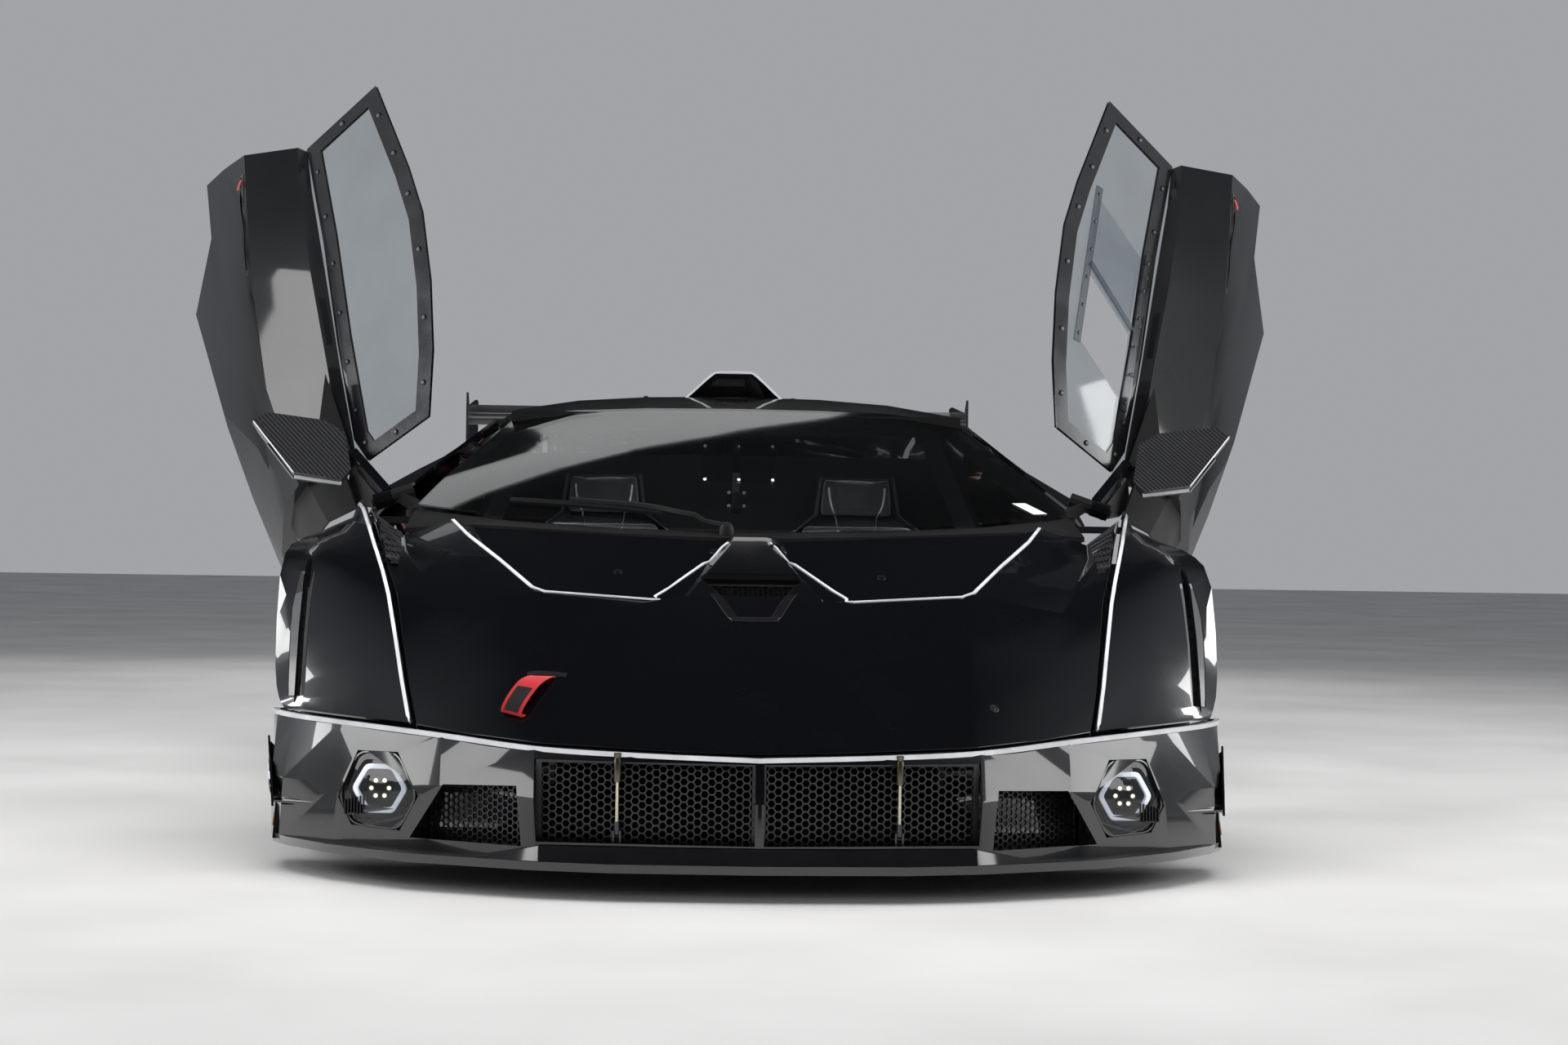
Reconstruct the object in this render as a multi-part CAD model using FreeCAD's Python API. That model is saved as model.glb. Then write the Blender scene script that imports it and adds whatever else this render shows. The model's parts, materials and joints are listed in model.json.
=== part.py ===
import FreeCAD, Part
import math
import os

# Track-only mid-engine supercar, parked with both scissor doors open.
# Millimetres. Nose toward -Y, +Z up, +X is the left-hand side of the car.
# The floor under the tyres is Z = 0, mid-length is Y = 0.

# Driving dimensions of the whole car
NOSE_Y = -2450.0
FRONT_AXLE_Y = -1330.0
REAR_AXLE_Y = 1470.0
TAIL_Y = 2450.0
BODY_HALF_X = 1072.0
ROOF_Z = 1118.0
FRONT_TYRE_R = 340.0
FRONT_TYRE_W = 296.0
FRONT_RIM_R = 246.0
REAR_TYRE_R = 355.0
REAR_TYRE_W = 336.0
REAR_RIM_R = 258.0
TRACK_INSET = 208.0
KINGPIN_INSET = 380.0

# Wall thicknesses and clearances
PANEL_T = 8.0
BUMPER_T = 14.0
TAIL_T = 10.0
HEAD_LAMP_T = 30.0
TAIL_LAMP_T = 24.0
SLAT_T = 6.0
DIVE_T = 5.0
NECK_T = 14.0
ROOF_T = 12.0
GLASS_T = 5.0
DOOR_T = 42.0
FLOOR_T = 12.0
PLATE_T = 8.0
RUNNING = 0.05
PIN_R = 10.0
SPINDLE_R = 30.0

# Heights
SPLITTER_Z = 58.0
SPLITTER_T = 18.0
FLOOR_Z = SPLITTER_Z + SPLITTER_T
TUB_Z = FLOOR_Z + FLOOR_T
SILL_Z = 330.0

# Scissor door: a point on its hinge axis, the axis's tilt and how far the door stands open
HINGE_X = 864.0
HINGE_Y = -1064.0
HINGE_Z = 814.0
HINGE_DROP_DEG = 18.7
HINGE_SWEEP_DEG = -2.3
DOOR_OPEN_DEG = 60.0

# The section tables are drawn with the axles, nose and tail at these stations,
# this half-width and this roof height. Every point passes through put() to the sizes above.
DRAWN_Y = (-2450.0, -1330.0, 1470.0, 2450.0)
DRAWN_HALF_X = 1072.0
DRAWN_ROOF_Z = 1118.0
REAL_Y = (NOSE_Y, FRONT_AXLE_Y, REAR_AXLE_Y, TAIL_Y)

# Points under the panels, which tell the inner side of each panel from the outer
FENDER_IN = (500.0, -1400.0, 100.0)
BUMPER_IN = (300.0, -1700.0, 200.0)
DECK_IN = (0.0, 1100.0, 300.0)
QUARTER_IN = (400.0, 1200.0, 300.0)
TAIL_IN = (200.0, 1500.0, 500.0)

OUT = "parts"
os.makedirs(OUT, exist_ok=True)


def put(point):
    """Moves a drawn point to the car's real size."""
    x, y, z = point
    k = 0
    while k < 2 and y > DRAWN_Y[k + 1]:
        k += 1
    share = (y - DRAWN_Y[k]) / (DRAWN_Y[k + 1] - DRAWN_Y[k])
    real_y = REAL_Y[k] + share * (REAL_Y[k + 1] - REAL_Y[k])
    return (x * BODY_HALF_X / DRAWN_HALF_X, real_y, z * ROOF_Z / DRAWN_ROOF_Z)


def vec(point):
    return FreeCAD.Vector(point[0], point[1], point[2])


def polygon(points):
    return Part.makePolygon([vec(p) for p in points] + [vec(points[0])])


def flat(points):
    return Part.Face(polygon(points))


def closed_solid(loops):
    shell = Part.makeShell([flat(loop) for loop in loops])
    shell.sewShape()
    solid = Part.makeSolid(shell)
    if solid.Volume < 0:
        solid.reverse()
    return solid


def smooth(rows, count):
    """Puts extra rows between the given ones, on curves that pass through every point."""
    result = []
    last = len(rows) - 1
    for i in range(last):
        before = rows[max(i - 1, 0)]
        start = rows[i]
        end = rows[i + 1]
        after = rows[min(i + 2, last)]
        for step in range(count):
            t = step / count
            line = []
            for a, b, c, d in zip(before, start, end, after):
                point = []
                for p, q, r, s in zip(a, b, c, d):
                    value = 2 * q + (r - p) * t
                    value += (2 * p - 5 * q + 4 * r - s) * t * t
                    value += (3 * q - p - 3 * r + s) * t * t * t
                    point.append(value / 2)
                line.append(tuple(point))
            result.append(line)
    result.append([tuple(p) for p in rows[last]])
    return result


def full_width(row):
    """Mirrors a half row that starts on the middle plane into one row over the whole width."""
    left = [(-p[0], p[1], p[2]) for p in row[:0:-1]]
    return left + list(row)


def inner_net(rows, thickness, inside):
    """The net moved by the thickness toward the inside point, square to itself."""
    normals = []
    sense = 0.0
    last = len(rows) - 1
    for i, row in enumerate(rows):
        line = []
        for j, p in enumerate(row):
            a = vec(rows[min(i + 1, last)][j]) - vec(rows[max(i - 1, 0)][j])
            b = vec(row[min(j + 1, len(row) - 1)]) - vec(row[max(j - 1, 0)])
            n = a.cross(b)
            n.normalize()
            sense += n.dot(vec(p) - vec(inside))
            line.append(n)
        normals.append(line)
    side = -thickness if sense > 0 else thickness
    result = []
    for row, line in zip(rows, normals):
        result.append([tuple(vec(p) + n * side) for p, n in zip(row, line)])
    return result


def skin(rows, thickness, inside=(0.0, 0.0, 300.0), shift=None):
    """Panel between a drawn net of points and the same net moved inward."""
    outer = [[put(p) for p in row] for row in rows]
    if shift is None:
        inner = inner_net(outer, thickness, inside)
    else:
        inner = [[tuple(vec(p) + vec(shift)) for p in row] for row in outer]
    high = len(outer) - 1
    wide = len(outer[0]) - 1
    rim = [(0, j) for j in range(wide + 1)]
    rim += [(i, wide) for i in range(1, high + 1)]
    rim += [(high, j) for j in range(wide - 1, -1, -1)]
    rim += [(i, 0) for i in range(high - 1, 0, -1)]
    loops = []
    for net in (outer, inner):
        for i in range(high):
            for j in range(wide):
                a, b = net[i][j], net[i][j + 1]
                c, d = net[i + 1][j + 1], net[i + 1][j]
                loops.append([a, b, c])
                loops.append([a, c, d])
    for (i, j), (k, m) in zip(rim, rim[1:] + rim[:1]):
        loops.append([outer[i][j], outer[k][m], inner[k][m]])
        loops.append([outer[i][j], inner[k][m], inner[i][j]])
    return closed_solid(loops)


def prism(points, shift):
    return flat([put(p) for p in points]).extrude(vec(shift))


def box(low, high):
    """Box between two drawn corners."""
    a = put(low)
    b = put(high)
    return Part.makeBox(b[0] - a[0], b[1] - a[1], b[2] - a[2], vec(a))


def side_plate(outline, x, thickness):
    """Plate of even thickness across X from a side outline of (y, z) points."""
    return prism([(x, y, z) for y, z in outline], (thickness, 0, 0))


def plan_plate(outline, z, thickness):
    """Level plate from a plan outline of (x, y) points."""
    return prism([(x, y, z) for x, y in outline], (0, 0, thickness))


def ring_points(center, direction, radius, sides):
    along = vec(direction)
    along.normalize()
    helper = FreeCAD.Vector(0, 0, 1) if abs(along.z) < 0.9 else FreeCAD.Vector(1, 0, 0)
    u = along.cross(helper)
    u.normalize()
    w = u.cross(along)
    points = []
    for k in range(sides):
        angle = 2 * math.pi * (k + 0.5) / sides
        points.append(tuple(vec(center) + u * (radius * math.cos(angle)) + w * (radius * math.sin(angle))))
    return points


def tube(start, end, radius, sides=10):
    """Straight many-sided rod between two drawn points."""
    return rod(vec(put(start)), vec(put(end)), radius, sides)


def pin(start, end, radius):
    """Round rod between two real points, for bearings and hinges."""
    direction = vec(end) - vec(start)
    return Part.makeCylinder(radius, direction.Length, vec(start), direction)


def rod(start, end, radius, sides):
    """Straight many-sided rod between two real points."""
    return flat(ring_points(tuple(start), end - start, radius, sides)).extrude(end - start)


def bar(start, end, width, height):
    """Rectangular bar between two drawn points, its height in the upright plane."""
    a = vec(put(start))
    b = vec(put(end))
    along = b - a
    along.normalize()
    side = along.cross(FreeCAD.Vector(0, 0, 1))
    side.normalize()
    top = side.cross(along)
    corners = []
    for u, w in ((-1, -1), (1, -1), (1, 1), (-1, 1)):
        corners.append(tuple(a + side * (u * width / 2) + top * (w * height / 2)))
    return flat(corners).extrude(b - a)


def loft(sections):
    """Solid through drawn rings of equal count, with flat facets between them."""
    rings = [[put(p) for p in s] for s in sections]
    count = len(rings[0])
    loops = [rings[0], rings[-1]]
    for a, b in zip(rings, rings[1:]):
        for k in range(count):
            m = (k + 1) % count
            loops.append([a[k], a[m], b[m]])
            loops.append([a[k], b[m], b[k]])
    return closed_solid(loops)


def fused(shapes):
    result = shapes[0].multiFuse(shapes[1:])
    return result.removeSplitter()


def mirrored(shape):
    return shape.mirror(FreeCAD.Vector(0, 0, 0), FreeCAD.Vector(1, 0, 0))


def both(shape):
    return Part.makeCompound([shape, mirrored(shape)])


def joined_halves(shape):
    return fused([shape, mirrored(shape)])


def largest(shape):
    """The biggest solid that a cut leaves, without the stubs on the far side of a panel."""
    return max(shape.Solids, key=lambda s: s.Volume)


def spun(profile, center, sides):
    """Many-sided solid of revolution about an axis along X, with a flat at its foot.

    The profile is a closed list of (x, radius) corners, none of them on the axis.
    """
    grow = 1 / math.cos(math.pi / sides)
    rings = []
    for x, r in profile:
        ring = []
        for k in range(sides):
            angle = 2 * math.pi * (k + 0.5) / sides
            ring.append((center[0] + x, center[1] + r * grow * math.sin(angle),
                         center[2] - r * grow * math.cos(angle)))
        rings.append(ring)
    loops = []
    for a, b in zip(rings, rings[1:] + rings[:1]):
        for k in range(sides):
            m = (k + 1) % sides
            loops.append([a[k], a[m], b[m], b[k]])
    return closed_solid(loops)


def save(name, shape):
    if shape.ShapeType == "Compound" and len(shape.Solids) == 1:
        shape = shape.Solids[0]
    shape.exportStep(os.path.join(OUT, name + ".step"))


def save_pair(name, shape):
    save(name + "_left", shape)
    save(name + "_right", mirrored(shape))


# Hinge axis of the left-hand door, in real coordinates
HINGE = put((HINGE_X, HINGE_Y, HINGE_Z))
DROP = math.radians(HINGE_DROP_DEG)
SWEEP = math.radians(HINGE_SWEEP_DEG)
HINGE_AXIS = (math.cos(DROP) * math.cos(SWEEP), math.sin(SWEEP), -math.sin(DROP))


def opened(shape):
    """Turns the left-hand door assembly from shut to where it stands parked."""
    copy = shape.copy()
    copy.rotate(vec(HINGE), vec(HINGE_AXIS), DOOR_OPEN_DEG)
    return copy


# Bonnet. Rows run from the nose lip to the cowl, each from the middle outward.
# Columns: middle, spine edge, scoop floor inner, scoop floor outer, scoop edge, valley, fender line
BONNET_ROWS = [
    [(0, -2368, 296), (150, -2346, 298), (165, -2344, 298), (440, -2268, 306), (460, -2262, 307),
     (600, -2190, 318), (714, -2103, 330)],
    [(0, -2270, 378), (140, -2258, 378), (155, -2256, 378), (445, -2180, 388), (465, -2176, 389),
     (620, -2110, 388), (738, -2018, 408)],
    [(0, -2080, 500), (135, -2075, 500), (150, -2073, 500), (450, -2040, 503), (470, -2035, 503),
     (650, -1985, 478), (763, -1898, 498)],
    [(0, -1884, 594), (150, -1882, 595), (216, -1880, 596), (455, -1905, 610), (475, -1904, 611),
     (680, -1850, 560), (785, -1778, 588)],
    [(0, -1866, 602), (146, -1864, 603), (226, -1852, 528), (446, -1876, 540), (484, -1884, 618),
     (690, -1820, 575), (791, -1748, 604)],
    [(0, -1700, 672), (84, -1700, 672), (142, -1695, 602), (524, -1690, 620), (566, -1700, 676),
     (745, -1660, 640), (830, -1598, 680)],
    [(0, -1560, 714), (44, -1560, 714), (90, -1555, 676), (606, -1530, 696), (648, -1535, 730),
     (790, -1500, 690), (862, -1448, 746)],
    [(0, -1478, 732), (42, -1478, 732), (85, -1474, 722), (640, -1410, 746), (690, -1395, 762),
     (805, -1370, 724), (886, -1338, 784)],
]
BONNET_SHIFT = (0, 4, -12)
bonnet_skin = skin([full_width(r) for r in BONNET_ROWS], 0, shift=BONNET_SHIFT)
SPINE_VENT = [(-125, -1750), (125, -1750), (70, -1860), (-70, -1860)]
SLOT_IN = [(250, -1800), (410, -1815), (425, -1848), (235, -1832)]
bonnet = bonnet_skin.cut(plan_plate(SPINE_VENT, 400, 500))
for sign in (1, -1):
    bonnet = bonnet.cut(plan_plate([(sign * x, y) for x, y in SLOT_IN], 400, 170))

# Front fender. Rows run from the nose line back to the door.
# Columns: fender line, top, shoulder, side, lower lip along the wheel arch
FENDER_ROWS = [
    [(724, -2102, 333), (820, -2032, 338), (896, -1962, 341), (972, -1870, 343), (1032, -1772, 344)],
    [(749, -2008, 420), (846, -1925, 430), (922, -1858, 425), (1004, -1775, 400), (1050, -1712, 360)],
    [(799, -1776, 594), (880, -1740, 596), (955, -1712, 575), (1036, -1686, 520), (1062, -1690, 432)],
    [(842, -1598, 686), (905, -1580, 688), (985, -1560, 676), (1054, -1545, 648), (1070, -1560, 630)],
    [(900, -1338, 790), (928, -1325, 756), (988, -1320, 734), (1042, -1325, 716), (1072, -1330, 698)],
    [(932, -1140, 806), (948, -1135, 762), (998, -1130, 736), (1044, -1130, 700), (1066, -1132, 655)],
    [(952, -1010, 764), (968, -1000, 738), (1014, -985, 706), (1056, -972, 608), (1064, -968, 432)],
    [(958, -915, 714), (978, -912, 702), (1026, -908, 655), (1064, -905, 560), (1052, -904, 140)],
]
fender = skin(smooth(FENDER_ROWS, 2), PANEL_T, inside=FENDER_IN)
VENT = [(982, 372), (1026, 366), (1030, 560), (1020, 640), (985, 640)]
fender = fender.cut(prism([(x, -1950, z) for x, z in VENT], (0, 480, 0)))
SLAT = [(-1800, 355), (-1775, 420), (-1725, 520), (-1640, 630), (-1560, 672), (-1525, 672), (-1600, 600),
        (-1670, 500), (-1715, 400), (-1735, 350)]
fender = fused([fender, side_plate(SLAT, 1001, SLAT_T)])

# Front bumper. Rows run from the middle outward to the wheel arch.
# Columns: ledge behind the silver line, nose line, middle, foot
BUMPER_ROWS = [
    [(0, -2374, 290), (0, -2402, 286), (0, -2425, 200), (0, -2415, 66)],
    [(250, -2330, 295), (250, -2358, 291), (250, -2388, 200), (250, -2386, 66)],
    [(460, -2268, 301), (460, -2294, 298), (458, -2352, 200), (456, -2356, 66)],
    [(650, -2166, 318), (656, -2190, 315), (655, -2245, 215), (690, -2200, 66)],
    [(862, -1998, 332), (882, -2016, 329), (886, -2060, 200), (892, -2052, 66)],
    [(962, -1882, 336), (988, -1896, 333), (1014, -1925, 200), (1022, -1918, 66)],
    [(1016, -1790, 338), (1042, -1796, 335), (1052, -1805, 200), (1052, -1805, 66)],
    [(1034, -1718, 339), (1060, -1718, 336), (1059, -1718, 200), (1052, -1718, 66)],
]
MOUTH = [(9, 112), (452, 112), (458, 276), (9, 276)]
DUCT = [(494, 222), (648, 217), (720, 100), (482, 100)]
LAMP_HEX = [(881, 172), (840, 272), (750, 274), (701, 188), (742, 112), (850, 116)]
bumper_half = skin(BUMPER_ROWS, BUMPER_T, inside=BUMPER_IN)
for hole in (MOUTH, DUCT, LAMP_HEX):
    bumper_half = bumper_half.cut(prism([(x, -2500, z) for x, z in hole], (0, 640, 0)))
bumper = joined_halves(bumper_half)

# Splitter with a raised middle, end fences, dive planes and two adjustable stays
SPLITTER = [(0, NOSE_Y), (300, -2434), (460, -2392), (720, -2266), (900, -2098), (1000, -1962),
            (1038, -1880), (1042, -1724), (560, -1724), (560, -1640), (0, -1640)]
plate = plan_plate(SPLITTER, SPLITTER_Z, SPLITTER_T)
RAISE = 30.0
raised = loft([
    [(0, -2446, FLOOR_Z), (0, -2250, FLOOR_Z), (0, -2290, FLOOR_Z + RAISE), (0, -2430, FLOOR_Z + RAISE)],
    [(446, -2392, FLOOR_Z), (446, -2230, FLOOR_Z), (446, -2260, FLOOR_Z + RAISE),
     (446, -2376, FLOOR_Z + RAISE)],
])
ramp_end = loft([
    [(446, -2392, FLOOR_Z - 2), (446, -2230, FLOOR_Z - 2), (446, -2260, FLOOR_Z + RAISE),
     (446, -2376, FLOOR_Z + RAISE)],
    [(570, -2334, FLOOR_Z - 2), (570, -2230, FLOOR_Z - 2), (570, -2240, FLOOR_Z + 1),
     (570, -2330, FLOOR_Z + 1)],
])
FENCE = [(-1900, 66), (-1740, 66), (-1740, 158), (-1850, 150)]
fence = side_plate(FENCE, 1030, PLATE_T)
splitter = joined_halves(fused([plate, raised, ramp_end, fence]))

# Dive planes at the bumper's corners. Rows run rearward and up.
# Columns: edge on the bumper, outer edge
DIVE_ROWS = [
    [(890, -2036, 150), (1030, -1945, 148)],
    [(974, -1938, 164), (1046, -1870, 160)],
    [(1020, -1856, 202), (1058, -1790, 200)],
    [(1040, -1786, 250), (1064, -1722, 262)],
]
dive = skin(smooth(DIVE_ROWS, 3), DIVE_T, inside=(900.0, -1900.0, 600.0))
DIVE_END = [(1030, -1948, 140), (1064, -1716, 140), (1068, -1716, 276)]
dive_end = flat([put(p) for p in DIVE_END]).extrude(FreeCAD.Vector(DIVE_T, 0, 0))
dive = fused([dive, dive_end])
bumper = bumper.cut(splitter)
dive = largest(dive.cut(bumper))
bumper = joined_halves(fused([bumper, dive]))
fender = largest(fender.cut(bumper))

# Honeycomb behind the mouth and the corner ducts, in the tail and in the side intakes
GRILLE_T = 6.0
GRILLE_FRAME = 6.0
FRONT_PITCH = 64.0
REAR_PITCH = 92.0
HOLE_SHARE = 0.49


def honeycomb(origin, toward, width, height, pitch):
    """Upright plate with hexagonal holes that starts at origin and runs toward a flat direction."""
    along = vec(toward)
    along.normalize()
    up = FreeCAD.Vector(0, 0, 1)
    start = vec(put(origin))
    radius = pitch * HOLE_SHARE

    def place(u, w):
        return tuple(start + along * u + up * w)

    outer = flat([place(0, 0), place(width, 0), place(width, height), place(0, height)])
    holes = []
    row = 0
    w = radius + GRILLE_FRAME
    while w + radius < height - GRILLE_FRAME / 2:
        u = radius + GRILLE_FRAME + (pitch / 2 if row % 2 else 0)
        while u + radius < width - GRILLE_FRAME / 2:
            ring = []
            for k in range(6):
                angle = math.radians(60 * k + 30)
                ring.append(place(u + radius * math.cos(angle), w + radius * math.sin(angle)))
            holes.append(flat(ring))
            u += pitch
        w += pitch * math.sqrt(3) / 2
        row += 1
    return outer.cut(Part.makeCompound(holes)).Faces[0].extrude(up.cross(along) * GRILLE_T)


mouth_net = honeycomb((2, -2372, 96), (450, 66, 0), 458, 186, FRONT_PITCH)
duct_net = honeycomb((470, -2262, FLOOR_Z + 4), (200, 130, 0), 262, 150, FRONT_PITCH)
tail_net = honeycomb((60, 2068, 440), (1, 0, 0), 700, 190, REAR_PITCH)
side_net = honeycomb((790, 660, 200), (300, -60, 0), 285, 480, REAR_PITCH)

# Windscreen. Rows run from its base to the roof, each from the middle outward
SCREEN_ROWS = [
    [(0, -1424, 752), (300, -1402, 758), (560, -1325, 772), (790, -1150, 800)],
    [(0, -1050, 886), (280, -1025, 890), (510, -960, 893), (724, -850, 891)],
    [(0, -700, 988), (260, -685, 988), (470, -640, 982), (652, -580, 968)],
    [(0, -390, 1070), (240, -385, 1068), (430, -370, 1060), (588, -345, 1044)],
]
screen = skin(smooth([full_width(r) for r in SCREEN_ROWS], 2), GLASS_T, inside=(0.0, -300.0, 500.0))

# Roof with its side rails. Rows run from the windscreen to the engine cover
ROOF_ROWS = [
    [(0, -380, 1072), (240, -375, 1070), (430, -360, 1062), (592, -335, 1046), (640, -330, 1012)],
    [(0, -150, 1108), (240, -150, 1104), (430, -145, 1092), (598, -140, 1066), (648, -140, 1030)],
    [(0, 60, 1118), (240, 60, 1113), (430, 60, 1100), (594, 60, 1074), (650, 60, 1036)],
    [(0, 300, 1108), (240, 300, 1102), (420, 300, 1088), (560, 300, 1060), (566, 300, 1030)],
]
roof = skin(smooth([full_width(r) for r in ROOF_ROWS], 2), ROOF_T, inside=(0.0, -100.0, 500.0))

# Engine cover. Rows run from the roof to the tail
DECK_ROWS = [
    [(0, 308, 1104), (240, 308, 1098), (420, 308, 1084), (556, 308, 1056)],
    [(0, 620, 1060), (230, 620, 1052), (400, 620, 1030), (540, 620, 1000)],
    [(0, 1100, 980), (230, 1100, 970), (400, 1100, 945), (556, 1100, 915)],
    [(0, 1600, 915), (230, 1600, 908), (400, 1600, 890), (592, 1600, 868)],
    [(0, 2060, 880), (230, 2050, 876), (400, 2030, 868), (612, 2000, 855)],
]
deck = skin(smooth([full_width(r) for r in DECK_ROWS], 2), PANEL_T, inside=DECK_IN)
LOUVRES = 6
LOUVRE_Y = 500.0
LOUVRE_PITCH = 140.0
LOUVRE_OPEN = 84.0
for k in range(LOUVRES):
    y = LOUVRE_Y + k * LOUVRE_PITCH
    opening = [(70, y), (430 - 6 * k, y + 30), (430 - 6 * k, y + 30 + LOUVRE_OPEN), (70, y + LOUVRE_OPEN)]
    for sign in (1, -1):
        deck = deck.cut(plan_plate([(sign * px, py) for px, py in opening], 700, 600))

# Roof scoop: an open duct on the roof that runs back into a central fin
SCOOP = [
    # y, foot half-width, top half-width, foot z, top z
    (-44.0, 136.0, 52.0, 1108.0, 1180.0),
    (250.0, 128.0, 46.0, 1104.0, 1186.0),
    (640.0, 84.0, 26.0, 1048.0, 1160.0),
]
SCOOP_WALL = 8.0


def scoop_section(y, foot, top, low, high, wall):
    return [(-foot + wall * 1.6, y, low + wall), (-top + wall / 2, y, high - wall),
            (top - wall / 2, y, high - wall), (foot - wall * 1.6, y, low + wall)]


scoop_outer = loft([scoop_section(*row, 0.0) for row in SCOOP])
scoop_inner = loft([scoop_section(SCOOP[0][0] - 1, *SCOOP[0][1:], SCOOP_WALL),
                    scoop_section(*SCOOP[1], SCOOP_WALL)])
FIN = [(600, 1040), (560, 1164), (900, 1182), (1700, 1192), (1800, 1180), (1790, 890), (1200, 960)]
scoop = fused([scoop_outer.cut(scoop_inner), side_plate(FIN, -4, PLATE_T)])
scoop = largest(scoop.cut(fused([roof, deck])))

# Rear quarter. Rows run from the door back to the tail.
# Columns: deck edge, top, shoulder, hip, lower lip along the wheel arch
QUARTER_ROWS = [
    [(668, 62, 1046), (772, 48, 965), (892, 44, 866), (966, 92, 816), (1012, 152, 768)],
    [(582, 330, 1046), (745, 330, 975), (905, 340, 905), (1002, 345, 850), (1048, 350, 770)],
    [(556, 640, 990), (740, 690, 940), (915, 740, 897), (1020, 760, 848), (1066, 790, 740)],
    [(570, 1105, 912), (740, 1110, 905), (920, 1120, 890), (1030, 1125, 838), (1070, 1128, 556)],
    [(580, 1290, 893), (745, 1290, 895), (922, 1290, 886), (1032, 1290, 836), (1072, 1290, 708)],
    [(590, 1470, 881), (750, 1470, 888), (925, 1470, 878), (1034, 1470, 826), (1074, 1470, 750)],
    [(603, 1650, 866), (760, 1650, 875), (928, 1650, 862), (1032, 1650, 800), (1070, 1650, 706)],
    [(612, 1830, 858), (765, 1830, 862), (920, 1830, 845), (1022, 1830, 740), (1060, 1815, 545)],
    [(620, 1990, 852), (765, 1978, 850), (905, 1952, 832), (1006, 1930, 690), (1040, 1884, 345)],
]
quarter_top = skin(smooth(QUARTER_ROWS, 2), PANEL_T, inside=QUARTER_IN)
# Flank between the side intake and the rear wheel. Columns: top, middle, foot
FLANK_ROWS = [
    [(1050, 440, 768), (1064, 430, 450), (1052, 400, 130)],
    [(1064, 790, 748), (1068, 790, 450), (1054, 790, 130)],
    [(1070, 1096, 600), (1069, 1082, 400), (1056, 1110, 130)],
]
flank = skin(FLANK_ROWS, PANEL_T, inside=(400.0, 800.0, 400.0))
# Inner wall of the side intake, from the cabin's rear corner back to the wheel arch
DUCT_WALL = [(130, 110), (1010, 110), (1010, 560), (960, 800), (700, 935), (330, 966), (130, 700)]
duct_wall = side_plate(DUCT_WALL, 782, PLATE_T)
quarter = fused([quarter_top, flank, duct_wall])

# Tail panel. Rows run from the middle outward. Columns: deck edge, upper, lower, foot
TAIL_ROWS = [
    [(0, 2070, 872), (0, 2140, 760), (0, 2150, 600), (0, 2120, 430)],
    [(400, 2040, 862), (400, 2120, 750), (400, 2135, 600), (400, 2110, 430)],
    [(630, 2010, 850), (640, 2080, 740), (640, 2100, 600), (640, 2080, 420)],
    [(908, 1966, 830), (902, 2010, 720), (902, 2035, 560), (902, 2020, 380)],
    [(1010, 1944, 690), (1022, 1948, 620), (1032, 1934, 500), (1042, 1896, 345)],
]
tail_half = skin(TAIL_ROWS, TAIL_T, inside=TAIL_IN)
TAIL_MESH = [(90, 612), (560, 618), (740, 590), (700, 470), (110, 470)]
TAIL_LAMP = [(470, 712), (860, 690), (880, 640), (800, 660), (640, 668), (480, 690)]
for hole in (TAIL_MESH, TAIL_LAMP):
    tail_half = tail_half.cut(prism([(x, 1900, z) for x, z in hole], (0, 320, 0)))
tail = joined_halves(tail_half)
PIPE_R = 47.0
PIPE_X = (62.0, 172.0)
PIPE_Z = 680.0
PIPE_SIDES = 14
for x in PIPE_X:
    for sign in (1, -1):
        tail = tail.cut(tube((sign * x, 1900, PIPE_Z), (sign * x, 2300, PIPE_Z), PIPE_R + 6, PIPE_SIDES))

# Lamps: clear hexagons in the bumper and light bars in the tail
head = prism([(x, -2400, z) for x, z in LAMP_HEX], (0, 480, 0))
lamp_rows = [[(p[0], p[1] + 4, p[2]) for p in row[1:]] for row in BUMPER_ROWS[2:6]]
head = head.common(skin(lamp_rows, HEAD_LAMP_T, inside=BUMPER_IN))
back = prism([(x, 1960, z) for x, z in TAIL_LAMP], (0, 200, 0))
back = back.common(skin([[(p[0], p[1] - 2, p[2]) for p in row] for row in TAIL_ROWS[1:4]], TAIL_LAMP_T,
                        inside=TAIL_IN))

# Floor with the diffuser, its strakes and the skid edges
FLOOR = [(0, -1700), (540, -1700), (540, -1010), (620, -870), (930, -850), (935, 330), (1010, 400),
         (1012, 1060), (640, 1075), (640, 1900), (0, 1900)]
floor_half = plan_plate(FLOOR, FLOOR_Z, FLOOR_T)
DIFFUSER_HALF_X = 900.0
DIFFUSER_Y = 1896.0
DIFFUSER_END_Y = 2290.0
DIFFUSER_Z = 330.0
STRAKES = (150.0, 330.0, 510.0, 690.0, 892.0)
ramp = side_plate([(DIFFUSER_Y, FLOOR_Z), (DIFFUSER_Y, FLOOR_Z + FLOOR_T), (DIFFUSER_END_Y, DIFFUSER_Z),
                   (DIFFUSER_END_Y, DIFFUSER_Z - FLOOR_T)], 0, DIFFUSER_HALF_X * BODY_HALF_X / DRAWN_HALF_X)
shapes = [floor_half, ramp]
for x in STRAKES:
    outline = [(DIFFUSER_Y + 10, FLOOR_Z - 4), (DIFFUSER_END_Y - 40, 120),
               (DIFFUSER_END_Y + 30, DIFFUSER_Z - 60), (DIFFUSER_END_Y + 20, DIFFUSER_Z + 60),
               (DIFFUSER_END_Y - 40, DIFFUSER_Z + 40), (DIFFUSER_Y + 20, FLOOR_Z + 9)]
    shapes.append(side_plate(outline, x, PLATE_T))
PAD_Z = 60.0
PAD_SIZE = 90.0
JACK_PADS = [(800, -700), (800, 250)]
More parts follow.
